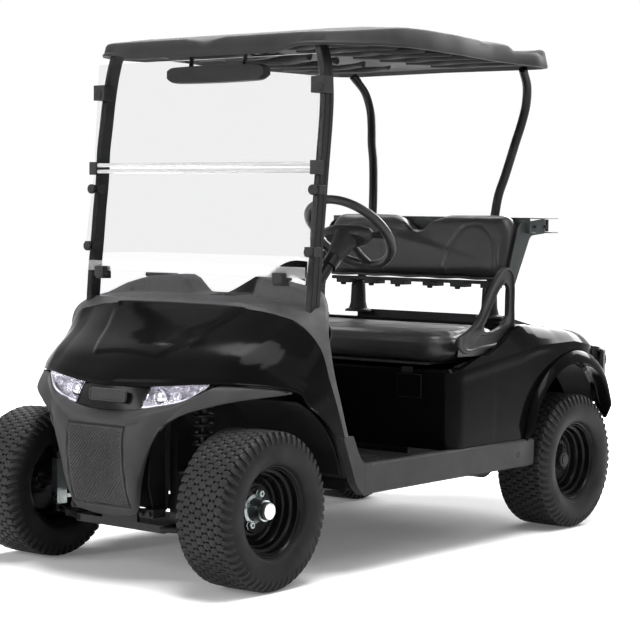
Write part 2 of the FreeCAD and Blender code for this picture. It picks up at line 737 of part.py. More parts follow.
def front_bumper():
    """The bumper round the opening for its grille panel."""
    shell = bumper_skin()
    opening = box(-GRILLE_HALF, GRILLE_HALF, BUMPER_NOSE_Y - OVERRUN, BUMPER_NOSE_Y + BUMPER_LENGTH / 2,
                  GRILLE_BOTTOM, GRILLE_TOP)
    return shell.cut(rounded(opening, GRILLE_HALF / 6, along(Vector(0, 1, 0))))


def grille_panel():
    shell = bumper_skin()
    gap = SEAT_GAP * 2
    field = box(-GRILLE_HALF + gap, GRILLE_HALF - gap, BUMPER_NOSE_Y - OVERRUN,
                BUMPER_NOSE_Y + BUMPER_LENGTH / 2, GRILLE_BOTTOM + gap, GRILLE_TOP - gap)
    return shell.common(rounded(field, GRILLE_HALF / 6, along(Vector(0, 1, 0))))


def at_x(points, x):
    """The place at x on a line of points that runs outwards from the centre."""
    for near, far in zip(points, points[1:]):
        if x <= far.x:
            break
    return near + (far - near) * ((x - near.x) / (far.x - near.x))


def lamp_column(x):
    """The front band at x, from the bumper's top edge up to the cowl's front edge."""
    high = at_x([column[0] for column in cowl_columns()], x)
    low = at_x([column[-1] for column in bumper_columns()], x)
    gap = Vector(0, 0, SEAT_GAP * 2)
    return [low + gap, (low + high) / 2, high - gap]


def headlamps():
    """The two clear lamp units that fill the band's outer ends."""
    step = (LAMP_OUTER_X - LAMP_INNER_X) / LAMP_STEPS
    columns = [lamp_column(LAMP_INNER_X + step * i) for i in range(LAMP_STEPS + 1)]
    lamp = skin(columns, LAMP_WALL).cut(cowl_skin()).cut(bumper_skin())
    return both_sides(main_solid(lamp))


def lamp_bezel():
    """The dark strip between the lamps."""
    step = (LAMP_INNER_X - SEAT_GAP * 2) / LAMP_STEPS
    columns = [lamp_column(step * i) for i in range(LAMP_STEPS + 1)]
    strip = skin(symmetric(columns), LAMP_WALL).cut(cowl_skin()).cut(bumper_skin())
    return main_solid(strip.cut(headlamps()))


def dash():
    """The dash as a folded shell across the cart, with the hump, the bin and two cheeks."""
    outer_shares = [
        (0.0, 0.86), (0.12, 0.94), (0.45, 0.97), (0.85, 0.96), (1.0, 0.90), (0.96, 0.60), (0.62, 0.22),
        (0.46, 0.02),
    ]
    outer = [(DASH_FRONT_Y + y * DASH_DEPTH, DASH_BASE + z * DASH_HEIGHT) for y, z in outer_shares]
    inner_shares = [
        (0.405, 0.045), (0.585, 0.25), (0.92, 0.615), (0.955, 0.875), (0.83, 0.93), (0.45, 0.94),
        (0.14, 0.91), (0.03, 0.83),
    ]
    inner = [(DASH_FRONT_Y + y * DASH_DEPTH, DASH_BASE + z * DASH_HEIGHT) for y, z in inner_shares]
    plan_shares = [(0.87, -0.02), (1.0, 0.074), (1.0, 0.235), (0.92, 0.66), (0.74, 0.943), (0.55, 1.02)]
    plan = [(x * DASH_HALF, DASH_FRONT_Y + y * DASH_DEPTH) for x, y in plan_shares]
    plan += [(-x, y) for x, y in reversed(plan)]
    shell = slab_x(outer + inner, -DASH_HALF, DASH_HALF).common(slab_z(plan, 0, DASH_BASE + 2 * DASH_HEIGHT))
    cheek_shares = [
        (0.061, 1.0), (0.039, 0.844), (0.17, 0.516), (0.265, 0.216), (0.348, 0.094), (0.443, 0.094),
        (0.348, 0.25), (0.243, 0.5), (0.235, 0.9375), (0.174, 1.0125),
    ]
    cheek = [(DASH_FRONT_Y + y * DASH_DEPTH, DASH_BASE + z * DASH_HEIGHT) for y, z in cheek_shares]
    wall = DASH_WALL / 2
    pieces = [slab_x(cheek, side * DASH_HALF - wall, side * DASH_HALF + wall) for side in (-1, 1)]
    hump_base = DASH_BASE + DASH_HEIGHT * 0.95
    hump_y = DASH_FRONT_Y + DASH_DEPTH * 0.25
    hump = [
        (hump_y, hump_base), (hump_y + HUMP_DEPTH * 0.35, hump_base + HUMP_RISE),
        (hump_y + HUMP_DEPTH * 0.8, hump_base + HUMP_RISE), (hump_y + HUMP_DEPTH, hump_base),
    ]
    pieces.append(slab_x(hump, HUMP_OUTER_X, HUMP_INNER_X))
    bin_rear = DASH_FRONT_Y + DASH_DEPTH * 0.92
    bin_top = DASH_BASE + DASH_HEIGHT
    tub = box(BIN_INNER_X, BIN_OUTER_X, bin_rear - BIN_DEPTH, bin_rear, bin_top - BIN_DROP, bin_top + BIN_RISE)
    pieces.append(tub)
    solid = fused(shell, *pieces)
    hole = box(BIN_INNER_X + DASH_WALL, BIN_OUTER_X - DASH_WALL, bin_rear - BIN_DEPTH + DASH_WALL,
               bin_rear - DASH_WALL, bin_top - BIN_DROP + DASH_WALL, bin_top + BIN_RISE + OVERRUN)
    passage = rod(column_point(-COLUMN_LENGTH), column_point(0), COLUMN_RADIUS + SEAT_GAP)
    solid = solid.cut(hole).cut(passage)
    foot, knee = front_strut_points()[:2]
    for side in (1, -1):
        start, end = Vector(side * foot.x, foot.y, foot.z), Vector(side * knee.x, knee.y, knee.z)
        solid = solid.cut(rod(start, end, STRUT_RADIUS + SEAT_GAP))
    return solid


def floor_pan():
    """The floor with the toe board that rises under the dash."""
    under = FLOOR_TOP - FLOOR_WALL
    rear = BODY_FRONT_Y - SEAT_GAP
    half = SILL_X - SEAT_GAP
    outline = [
        (rear, FLOOR_TOP), (FLOOR_FRONT_Y, FLOOR_TOP), (FLOOR_FRONT_Y - TOE_RUN, FLOOR_TOP + TOE_RISE),
        (FLOOR_FRONT_Y - TOE_RUN - FLOOR_WALL, FLOOR_TOP + TOE_RISE), (FLOOR_FRONT_Y - FLOOR_WALL, under),
        (rear, under),
    ]
    return slab_x(outline, -half, half)


def sills():
    """The side sills, each with the slanting post that meets the cowl."""
    top = SILL_BOTTOM + SILL_HEIGHT
    post_y = SILL_FRONT_Y - SILL_POST_LEAN
    outline = [
        (SILL_REAR_Y, SILL_BOTTOM + SILL_HEIGHT / 4), (SILL_REAR_Y, top),
        (SILL_FRONT_Y + SILL_POST_WIDTH, top), (post_y + SILL_POST_WIDTH, COWL_BASE - SEAT_GAP),
        (post_y, COWL_BASE - SEAT_GAP), (SILL_FRONT_Y, SILL_BOTTOM),
    ]
    return both_sides(slab_x(outline, SILL_X, SILL_X + SILL_WIDTH))


def body_outline(inset):
    """The rear body's side outline, with its walls inset and its underside left open."""
    shares = [
        (0.0, 0.11), (0.0, SEAT_SHARE), (0.18, SEAT_SHARE), (0.262, 0.765), (0.36, 0.8875), (0.42, 0.96),
        (0.45, DECK_SHARE), (0.53, DECK_SHARE), (0.97, 0.745),
        (1.0, 0.66), (1.0, 0.25), (0.90, 0.25), (0.33, 0.11),
    ]
    points = []
    for y, z in shares:
        edge_y = inset if y < 0.01 else -inset if y > 0.96 else 0
        edge_z = -inset if z > 0.3 else -inset * 20
        points.append((BODY_FRONT_Y + y * BODY_LENGTH + edge_y, BODY_BASE + z * BODY_HEIGHT + edge_z))
    return points


def body_plan(grow):
    """The rear body's plan with its rounded tail, grown outwards all round."""
    shares = [
        (1.0, 0.20), (0.985, 0.42), (0.94, 0.62), (0.855, 0.77), (0.73, 0.875), (0.535, 0.95),
        (0.27, 0.99), (0.0, 1.0),
    ]
    rear = BODY_FRONT_Y + BODY_LENGTH
    right = [(BODY_HALF + grow, BODY_FRONT_Y - grow)]
    right += [(x * (BODY_HALF + grow), rear - (1 - y) * TAIL_LENGTH + grow * y) for x, y in shares]
    return right + [(-x, y) for x, y in reversed(right[:-1])]


def tail_plan(grow):
    """The plan of the tail's rounded bulge, grown outwards."""
    shares = [(0.995, 0.22), (0.97, 0.44), (0.90, 0.62), (0.79, 0.76), (0.63, 0.89), (0.36, 0.98), (0.0, 1.0)]
    start = BODY_FRONT_Y + BODY_LENGTH - TAIL_LENGTH
    right = [(0.995 * BODY_HALF + grow, start)]
    right += [(x * (BODY_HALF + grow), start + y * (TAIL_LENGTH + TAIL_REACH + grow)) for x, y in shares]
    return right + [(-x, y) for x, y in reversed(right[:-1])]


def tall(plan):
    """A plan stretched through the whole height of the body."""
    return slab_z(plan, -OVERRUN, BODY_BASE + BODY_HEIGHT + OVERRUN)


def rear_body():
    """Seat box, rear wings and tail as one open-bottomed shell."""
    outer = slab_x(body_outline(0), -BODY_HALF, BODY_HALF).common(tall(body_plan(0)))
    inner = slab_x(body_outline(BODY_WALL), -BODY_HALF, BODY_HALF).common(tall(body_plan(-BODY_WALL)))
    shell = outer.cut(inner)
    seat_half = CUSHION_HALF + RECESS_GAP
    floor = recess_floor()
    recess_front = BODY_FRONT_Y + BODY_LENGTH / 6
    tub = box(-seat_half - BODY_WALL, seat_half + BODY_WALL, recess_front, RECESS_REAR_Y + BODY_WALL,
              floor - BODY_WALL, BODY_BASE + BODY_HEIGHT)
    recess = box(-seat_half, seat_half, recess_front, RECESS_REAR_Y, floor, BODY_BASE + BODY_HEIGHT)
    shell = shell.fuse(tub.common(outer)).cut(recess)
    hatch = box(-HATCH_HALF, HATCH_HALF, HATCH_FRONT_Y, HATCH_REAR_Y, BODY_BASE + BODY_HEIGHT / 2,
                BODY_BASE + BODY_HEIGHT)
    top = BODY_BASE + BODY_HEIGHT + OVERRUN
    well = box(-WELL_HALF, WELL_HALF, WELL_FRONT_Y, WELL_REAR_Y, WELL_FLOOR, top)
    wide = Vector(BODY_HALF + OVERRUN, 0, 0)
    axle = Vector(0, REAR_Y, TYRE_RADIUS)
    arch = rod(axle - wide, axle + wide, REAR_ARCH_RADIUS)
    shell = shell.cut(hatch).cut(well).cut(arch)
    return fused(shell, *[piece for x in (-LID_HINGE_X, LID_HINGE_X) for piece in lid_lugs(x)])


def recess_floor():
    """The level of the body's top under the seat pan."""
    return CUSHION_BOTTOM - PAN_WALL - RECESS_GAP


def lid_lugs(x):
    """Two lugs from the recess's rear wall with the pin between them that the seat turns on."""
    pin_half = LID_EAR / 2 + LUG_WIDTH
    axis = Vector(x - pin_half, LID_HINGE_Y, LID_HINGE_Z)
    pieces = [rod(axis, axis + Vector(2 * pin_half, 0, 0), LID_PIN_RADIUS)]
    for x0 in (x - pin_half, x + pin_half - LUG_WIDTH + SEAT_GAP):
        pieces.append(box(x0, x0 + LUG_WIDTH - SEAT_GAP, LID_HINGE_Y, RECESS_REAR_Y + BODY_WALL / 2,
                          LID_HINGE_Z - LID_PIN_RADIUS, LID_HINGE_Z + LID_PIN_RADIUS))
    return pieces


def bag_well():
    """The open tray behind the seat, its walls trimmed level with the sloping deck."""
    x1, y0, y1 = WELL_HALF - SEAT_GAP, WELL_FRONT_Y + SEAT_GAP, WELL_REAR_Y - SEAT_GAP
    top = BODY_BASE + BODY_HEIGHT
    tray = box(-x1, x1, y0, y1, WELL_FLOOR, top)
    hollow = box(-x1 + WELL_WALL, x1 - WELL_WALL, y0 + WELL_WALL, y1 - WELL_WALL,
                 WELL_FLOOR + WELL_WALL, top + OVERRUN)
    return tray.cut(hollow).common(slab_x(body_outline(0), -BODY_HALF, BODY_HALF))


def rear_bumper():
    """The rounded bulge that wraps the tail."""
    top = TAIL_BASE + TAIL_HEIGHT
    block = slab_z(tail_plan(0), TAIL_BASE, top)
    hollow = slab_z(tail_plan(-TAIL_WALL), TAIL_BASE - OVERRUN, top - TAIL_WALL)
    return main_solid(block.cut(tall(body_plan(SEAT_GAP))).cut(hollow))


def arch_trims():
    """The flared lips round the rear wheel openings."""
    inner_x, outer_x = LINER_INNER_X, BODY_HALF + TRIM_PROUD
    lip = REAR_ARCH_RADIUS - TRIM_WIDTH / 4
    ring = turned_x([
        (inner_x, REAR_ARCH_RADIUS + TRIM_WIDTH), (BODY_HALF, REAR_ARCH_RADIUS + TRIM_WIDTH),
        (outer_x, REAR_ARCH_RADIUS), (outer_x, lip), (inner_x, lip),
    ], Vector(0, REAR_Y, TYRE_RADIUS))
    ring = ring.common(tall(body_plan(TRIM_PROUD))).cut(tall(body_plan(SEAT_GAP)))
    reach = REAR_ARCH_RADIUS + TRIM_WIDTH + OVERRUN
    lower = TYRE_RADIUS + REAR_ARCH_RADIUS / 3
    ground = box(0, outer_x + OVERRUN, REAR_Y - reach, REAR_Y + reach, -reach, lower)
    return both_sides(main_solid(ring.cut(ground).cut(rear_bumper())))


def wheel_liners():
    """Half-round tunnels over the rear wheels and the splash walls behind the front ones."""
    radius = REAR_ARCH_RADIUS + LINER_WALL
    x1 = BODY_HALF - BODY_WALL - SEAT_GAP
    tunnel = turned_x([
        (LINER_INNER_X, REAR_ARCH_RADIUS), (LINER_INNER_X, radius), (x1, radius), (x1, REAR_ARCH_RADIUS),
    ], Vector(0, REAR_Y, TYRE_RADIUS))
    reach = radius + OVERRUN
    lower = TYRE_RADIUS + REAR_ARCH_RADIUS / 2
    tunnel = tunnel.cut(box(0, x1 + OVERRUN, REAR_Y - reach, REAR_Y + reach, -reach, lower))
    tunnel = tunnel.common(tall(body_plan(-BODY_WALL - SEAT_GAP)))
    arch_outer = ARCH_RADIUS + LINER_WALL
    x2 = SILL_X - SEAT_GAP
    wall = turned_x([
        (FRONT_LINER_INNER_X, ARCH_RADIUS), (FRONT_LINER_INNER_X, arch_outer), (x2, arch_outer),
        (x2, ARCH_RADIUS),
    ], Vector(0, FRONT_Y, TYRE_RADIUS))
    wall = wall.common(box(0, x2 + OVERRUN, FRONT_Y + ARCH_RADIUS / 3, FRONT_Y + arch_outer,
                           FLOOR_TOP + SEAT_GAP, COWL_BASE + COWL_HEIGHT / 3))
    return Part.makeCompound([tunnel, mirrored(tunnel), wall, mirrored(wall)])


def seat_cushion():
    top = CUSHION_BOTTOM + CUSHION_THICK
    rear = CUSHION_HALF - CUSHION_TAPER
    block = slab_z([(-CUSHION_HALF, CUSHION_FRONT_Y), (CUSHION_HALF, CUSHION_FRONT_Y), (rear, CUSHION_REAR_Y),
                    (-rear, CUSHION_REAR_Y)], CUSHION_BOTTOM, top)
    upright = rounded(block, CUSHION_ROUND * 2, along(Vector(0, 0, 1)))
    return rounded(upright, CUSHION_ROUND, lambda edge: edge.CenterOfMass.z > top - SEAT_GAP)


def seat_pan():
    """The board under the cushion with its two hinge ears behind it."""
    top = CUSHION_BOTTOM - SEAT_GAP
    half = CUSHION_HALF - CUSHION_TAPER - PAN_INSET / 4
    pieces = []
    for x in (-LID_HINGE_X, LID_HINGE_X):
        x0, x1 = x - LID_EAR / 2, x + LID_EAR / 2
        y0, y1 = LID_HINGE_Y - LID_EAR_WALL / 2, LID_HINGE_Y + LID_EAR_WALL / 2
        pieces.append(box(x0, x1, CUSHION_REAR_Y - PAN_INSET - OVERRUN, y1, top - PAN_WALL, top))
        pieces.append(box(x0, x1, y0, y1, top - PAN_WALL, LID_HINGE_Z))
        axis = Vector(x0, LID_HINGE_Y, LID_HINGE_Z)
        pieces.append(rod(axis, axis + Vector(LID_EAR, 0, 0), LID_EAR / 2))
    board = box(-half, half, CUSHION_FRONT_Y + PAN_INSET, CUSHION_REAR_Y - PAN_INSET, top - PAN_WALL, top)
    ends = Vector(LID_HINGE_X + LID_EAR, LID_HINGE_Y, LID_HINGE_Z)
    bore = rod(Vector(-ends.x, ends.y, ends.z), ends, LID_PIN_RADIUS + RUNNING_FIT)
    return fused(board, *pieces).cut(bore)


def reclined(shape):
    """Turns a shape that was drawn upright at the backrest's foot to the backrest's lean."""
    shape.rotate(Vector(0, 0, 0), Vector(1, 0, 0), -BACK_RECLINE)
    shape.translate(Vector(0, BACK_BOTTOM_Y, BACK_BOTTOM_Z))
    return shape


def seat_back():
    top = BACK_HEIGHT
    outline = [
        (-BACK_HALF, 0), (BACK_HALF, 0), (BACK_HALF, top), (NOTCH_HALF * 1.5, top),
        (NOTCH_HALF, top - NOTCH_DEPTH), (-NOTCH_HALF, top - NOTCH_DEPTH), (-NOTCH_HALF * 1.5, top),
        (-BACK_HALF, top),
    ]
    block = slab_y(outline, 0, BACK_THICK)
    corners = rounded(block, BACK_ROUND * 2, lambda edge: along(Vector(0, 1, 0))(edge)
                      and abs(edge.CenterOfMass.x) > BACK_HALF - SEAT_GAP)
    front = rounded(corners, BACK_ROUND, lambda edge: edge.CenterOfMass.y < SEAT_GAP)
    return reclined(front)


def seat_back_frame():
    """The plate behind the backrest, its cross tube and the arms that bring it to the rear struts."""
    half = BACK_FRAME_HALF
    plate = box(-half, half, BACK_THICK + SEAT_GAP, BACK_THICK + SEAT_GAP + BACK_FRAME_WALL,
                BACK_HEIGHT * 0.2, BACK_HEIGHT * 0.62)
    plate = reclined(plate)
    level = BACK_FRAME_Z
    low, knee = rear_strut_points()[2:4]
    strut = low + (knee - low) * ((level - low.z) / (knee.z - low.z))
    y = strut.y - STRUT_RADIUS - BACK_FRAME_TUBE - 3 * SEAT_GAP
    tube = rod(Vector(-strut.x, y, level), Vector(strut.x, y, level), BACK_FRAME_TUBE)
    inside = plate.BoundBox.Center
    arms = [
        rod(Vector(x, inside.y, inside.z), Vector(x, y, level), BACK_FRAME_TUBE * 0.8)
        for x in (-strut.x * 0.8, strut.x * 0.8)
    ]
    whole = fused(tube, *arms)
    front = box(-BACK_HALF, BACK_HALF, -BACK_THICK, BACK_THICK + SEAT_GAP, -BACK_HEIGHT, BACK_HEIGHT * 2)
    return fused(plate, whole.cut(reclined(front)))


def hip_restraints():
    """The hoops at both ends of the seat, flared outwards to the front, each with a foot on the seat box."""
    shares = [
        (0.004, 0.161), (0.0, 0.077), (0.044, 0.007), (0.386, 0.0), (0.727, 0.0), (0.928, 0.066),
        (0.992, 0.187), (1.0, 0.498), (0.996, 0.791), (0.976, 0.930), (0.928, 0.985), (0.827, 1.0),
        (0.747, 0.963), (0.667, 0.883), (0.576, 0.755), (0.486, 0.601), (0.406, 0.443), (0.315, 0.322),
        (0.185, 0.234),
    ]
    hole_shares = [
        (0.817, 0.810), (0.871, 0.755), (0.892, 0.535), (0.871, 0.370), (0.787, 0.267), (0.667, 0.212),
        (0.536, 0.198), (0.456, 0.223), (0.442, 0.271), (0.476, 0.333), (0.596, 0.535), (0.707, 0.711),
    ]
    half = RESTRAINT_WALL / 2
    hoop = slab_x(restraint_outline(shares), -half, half)
    hoop = hoop.cut(slab_x(restraint_outline(hole_shares), -half - OVERRUN, half + OVERRUN))
    start = RESTRAINT_LENGTH * 0.62
    foot = box(-half, half, start, start + RESTRAINT_FOOT, recess_floor() + SEAT_GAP,
               RESTRAINT_BASE + RESTRAINT_HEIGHT / 20)
    whole = fused(hoop, foot)
    whole.rotate(Vector(0, 0, 0), Vector(0, 0, 1), RESTRAINT_FLARE)
    whole.translate(Vector(RESTRAINT_X, BODY_FRONT_Y, 0))
    return both_sides(whole)


def restraint_outline(shares):
    """Points of the hoop's side view from shares of its length and height."""
    return [(y * RESTRAINT_LENGTH, RESTRAINT_BASE + z * RESTRAINT_HEIGHT) for y, z in shares]


def bag_rack():
    """The channel behind the seat back and the two slanting side plates that carry it."""
    low = RACK_TOP - RACK_CHANNEL
    front = RACK_REAR_Y - RACK_CHANNEL_DEPTH
    channel = box(-RACK_X, RACK_X, front, RACK_REAR_Y, low, RACK_TOP)
    end = RACK_X + OVERRUN
    hollow = box(-end, end, front + RACK_WALL, RACK_REAR_Y + OVERRUN, low + RACK_WALL, RACK_TOP - RACK_WALL)
    foot = deck_level() + SEAT_GAP
    rise = RACK_TOP - foot
    shares = [
        (1.0, 1.0), (0.33, 0.96), (0.0, 0.28), (0.0, 0.0), (0.16, 0.0), (0.20, 0.28), (0.48, 0.80),
        (1.0, 0.84),
    ]
    outline = [(RACK_FOOT_Y + y * (RACK_REAR_Y - RACK_FOOT_Y), foot + z * rise) for y, z in shares]
    plates = [slab_x(outline, x - RACK_WALL / 2, x + RACK_WALL / 2) for x in (-RACK_X, RACK_X)]
    return fused(channel.cut(hollow), *plates)


def roof_block(inset):
    """The roof's closed shape: its plan, side and front outlines in common, each drawn in by the inset."""
    plan_shares = [
        (0.62, 0.0), (0.765, 0.008), (0.87, 0.05), (0.97, 0.13), (1.0, 0.21), (0.985, 0.34), (0.945, 0.48),
        (0.86, 0.68), (0.84, 0.80), (0.845, 0.90), (0.80, 0.975), (0.70, 1.0),
    ]
    side_shares = [
        (0.0, -1.0), (0.0, 0.42), (0.03, 0.68), (0.08, 0.86), (0.5, 0.98), (0.9, 1.0), (0.97, 0.92), (1.0, 0.55),
        (1.0, -1.0),
    ]
    front_shares = [(1.0, -1.0), (1.0, 0.30), (0.90, 0.74), (0.72, 0.93), (0.3, 1.0)]
    length = CANOPY_LENGTH - 2 * inset
    half = CANOPY_HALF - inset
    y0 = CANOPY_FRONT_Y + inset
    right = [(x * half, y0 + y * length) for x, y in plan_shares]
    left = [(-x, y) for x, y in reversed(right)]
    plan = slab_z(right + left, CANOPY_BASE - inset, CANOPY_BASE + CANOPY_HEIGHT)
    side = [(y0 + y * length, CANOPY_BASE + z * CANOPY_HEIGHT - inset) for y, z in side_shares]
    edge = [(x * half, CANOPY_BASE + z * CANOPY_HEIGHT - inset) for x, z in front_shares]
    front = edge + [(-x, z) for x, z in reversed(edge)]
    body = plan.common(slab_x(side, -CANOPY_HALF, CANOPY_HALF))
    return body.common(slab_y(front, CANOPY_FRONT_Y, CANOPY_FRONT_Y + CANOPY_LENGTH))


def canopy():
    """The moulded roof, hollow underneath, with a rib across at each pair of struts."""
    outer = roof_block(0)
    rear_y = CANOPY_FRONT_Y + CANOPY_LENGTH
    wedge = slab_x([(CANOPY_FRONT_Y, CANOPY_BASE), (rear_y, CANOPY_BASE + CANOPY_HEIGHT / 4),
                    (rear_y + OVERRUN, CANOPY_BASE - OVERRUN), (CANOPY_FRONT_Y, CANOPY_BASE - OVERRUN)],
                   -CANOPY_HALF - OVERRUN, CANOPY_HALF + OVERRUN)
    shell = outer.cut(roof_block(CANOPY_WALL)).cut(wedge)
    low = rib_level()
    half = STRUT_TOP_X + STRUT_RADIUS * 2
    ribs = []
    for y in (STRUT_TOP_Y, REAR_STRUT_TOP_Y):
        block = box(-half, half, y - RIB_WIDTH / 2, y + RIB_WIDTH / 2, low, CANOPY_BASE + CANOPY_HEIGHT)
        ribs.append(block.common(outer))
    return fused(shell, *ribs)


def rib_level():
    """The underside of the roof's ribs, where the struts end."""
    return CANOPY_BASE + CANOPY_HEIGHT / 4


def flush(bar, low, high):
    """A bar trimmed level at its foot and at its head."""
    wide = CANOPY_LENGTH
    return bar.common(box(-wide, wide, -wide, wide, low + SEAT_GAP, high - SEAT_GAP))


def front_strut_points():
    return [
        Vector(STRUT_BASE_X, STRUT_BASE_Y, toe_top() - OVERRUN),
        Vector(STRUT_KNEE_X, STRUT_KNEE_Y, STRUT_KNEE_Z),
        Vector(STRUT_TOP_X, STRUT_TOP_Y, rib_level() + OVERRUN),
    ]


def toe_top():
    """The level of the toe board's upper edge."""
    return FLOOR_TOP + TOE_RISE


def deck_level():
    """The level of the body's deck behind the seat."""
    return BODY_BASE + BODY_HEIGHT * DECK_SHARE


def front_struts():
    bar = bent_bar(front_strut_points(), STRUT_RADIUS, STRUT_BEND)
    return both_sides(flush(bar, toe_top(), rib_level()))


def rear_strut_points():
    deck = deck_level()
    return [
        Vector(REAR_STRUT_FOOT_X, REAR_STRUT_FOOT_Y, deck - OVERRUN),
        Vector(REAR_STRUT_FOOT_X, REAR_STRUT_FOOT_Y, deck + REAR_STRUT_FOOT_RISE),
        Vector(REAR_STRUT_LOW_X, REAR_STRUT_LOW_Y, REAR_STRUT_LOW_Z),
        Vector(REAR_STRUT_KNEE_X, REAR_STRUT_KNEE_Y, REAR_STRUT_KNEE_Z),
        Vector(REAR_STRUT_TOP_X, REAR_STRUT_TOP_Y, rib_level() + OVERRUN),
    ]


def rear_struts():
    bar = bent_bar(rear_strut_points(), STRUT_RADIUS, STRUT_BEND)
    return both_sides(flush(bar, deck_level(), rib_level()))


def windshield():
    """The lower and the upper pane, which meet at the fold."""
    panes = []
    gap = HINGE_RADIUS + SEAT_GAP
    for low, high in ((GLASS_LOW_Z, GLASS_HINGE_Z - gap), (GLASS_HINGE_Z + gap, GLASS_TOP_Z)):
        outline = [
            (glass_y(low), low), (glass_y(high), high),
            (glass_y(high) + GLASS_WALL, high), (glass_y(low) + GLASS_WALL, low),
        ]
        panes.append(slab_x(outline, -GLASS_HALF, GLASS_HALF))
    return Part.makeCompound(panes)


def strut_at(z):
    """The middle of the left front strut at a height below its knee."""
    foot, knee = front_strut_points()[:2]
    return foot + (knee - foot) * ((z - foot.z) / (knee.z - foot.z))


def glass_y(z):
    """The front face of the windshield at a height."""
    if z < GLASS_HINGE_Z:
        return GLASS_LOW_Y + (GLASS_HINGE_Y - GLASS_LOW_Y) * (z - GLASS_LOW_Z) / (GLASS_HINGE_Z - GLASS_LOW_Z)
    return GLASS_HINGE_Y + (GLASS_TOP_Y - GLASS_HINGE_Y) * (z - GLASS_HINGE_Z) / (GLASS_TOP_Z - GLASS_HINGE_Z)


def windshield_fittings():
    """The fold's hinge bar, and the clamps and knobs that hold the panes to the struts."""
    middle = GLASS_HINGE_Y + GLASS_WALL / 2
    wide = Vector(GLASS_HALF, 0, 0)
    fold = Vector(0, middle, GLASS_HINGE_Z)
    pieces = [rod(fold - wide, fold + wide, HINGE_RADIUS)]
    for z in (LOWER_CLAMP_Z, LOWER_KNOB_Z, UPPER_KNOB_Z, UPPER_CLAMP_Z):
        strut = strut_at(z)
        half = CLAMP_SIZE / 2
        low, high = z - half, z + half
        shoe = GLASS_WALL + SEAT_GAP * 2
        reach = STRUT_RADIUS + SEAT_GAP * 2
        clamp = slab_x([
            (glass_y(low) + shoe, low), (glass_y(high) + shoe, high),
            (strut_at(high).y - reach, high), (strut_at(low).y - reach, low),
        ], strut.x - half, strut.x + half)
        out = Vector(0, low - high, glass_y(high) - glass_y(low)).normalize()
        face = Vector(strut.x - half, glass_y(z), z) + out * SEAT_GAP
        knob = rod(face, face + out * KNOB_LENGTH, KNOB_RADIUS)
        for piece in (clamp, knob):
            pieces += [piece, mirrored(piece)]
    return Part.makeCompound(pieces)


def mirror():
    high = MIRROR_BASE + MIRROR_HEIGHT
    block = box(-MIRROR_HALF, MIRROR_HALF, MIRROR_Y, MIRROR_Y + MIRROR_DEPTH, MIRROR_BASE, high)
    shell = rounded(block, MIRROR_HEIGHT / 3, along(Vector(0, 1, 0)))
    top = rib_level() - SEAT_GAP
    stems = [
        box(x - CLAMP_SIZE / 2, x + CLAMP_SIZE / 2, MIRROR_Y + GLASS_WALL,
            MIRROR_Y + MIRROR_DEPTH - GLASS_WALL, MIRROR_BASE + MIRROR_HEIGHT / 2, top)
        for x in (-MIRROR_STEM_X, MIRROR_STEM_X)
    ]
    return fused(shell, *stems)


def column_point(distance):
    """A point on the steering column's line, measured from the steering wheel's boss."""
    tilt = math.radians(WHEEL_TILT)
    boss = Vector(WHEEL_X, WHEEL_Y, WHEEL_Z) - Vector(0, math.cos(tilt), math.sin(tilt)) * WHEEL_DISH
    return boss + Vector(0, math.cos(tilt), math.sin(tilt)) * distance


def steering_wheel():
    axis = column_point(1) - column_point(0)
    centre = Vector(WHEEL_X, WHEEL_Y, WHEEL_Z)
    grip = Part.makeTorus(WHEEL_RADIUS, WHEEL_GRIP, centre, axis)
    boss = rod(column_point(0), column_point(WHEEL_BOSS_LENGTH), WHEEL_BOSS)
    across = Vector(1, 0, 0)
    down = axis.cross(across)
    inner = column_point(WHEEL_BOSS_LENGTH * 0.6)
    pieces = [boss]
    for reach in (across, -across, down):
        pieces.append(rod(inner, centre + reach * WHEEL_RADIUS, SPOKE_WALL))
    bore = rod(column_point(-OVERRUN), column_point(SHAFT_REACH + SEAT_GAP), SHAFT_RADIUS + RUNNING_FIT)
    return fused(grip, *pieces).cut(bore)


def steering_column():
    """The column's tube and the shaft that carries the steering wheel."""
    tube = rod(column_point(-COLUMN_LENGTH), column_point(-SEAT_GAP * 2), COLUMN_RADIUS)
    return fused(tube, rod(column_point(-COLUMN_LENGTH / 2), column_point(SHAFT_REACH), SHAFT_RADIUS))


def pedals():
    """The brake and the accelerator, each a pad on its lever from the toe board."""
    pieces = []
    pads = []
    for i in (0, 1):
        x = PEDAL_X - PEDAL_SPACING * i
        y = FLOOR_FRONT_Y + PEDAL_WALL * 2
        z = FLOOR_TOP + PEDAL_HEIGHT / 2
        lean = TOE_RUN / TOE_RISE
        outline = [
            (y, z), (y - PEDAL_HEIGHT * lean, z + PEDAL_HEIGHT),
            (y - PEDAL_HEIGHT * lean + PEDAL_WALL, z + PEDAL_HEIGHT),
            (y + PEDAL_WALL, z),
        ]
        pad = slab_x(outline, x - PEDAL_WIDTH / 2, x + PEDAL_WIDTH / 2)
        face = FLOOR_FRONT_Y - lean * PEDAL_HEIGHT + lean * PEDAL_LEVER
        root = Vector(x, face + SEAT_GAP, z + PEDAL_HEIGHT / 2)
        lever = rod(root, Vector(x, y, z + PEDAL_HEIGHT / 2), PEDAL_LEVER)
        pads.append(fused(pad, lever))
    return Part.makeCompound(pads)


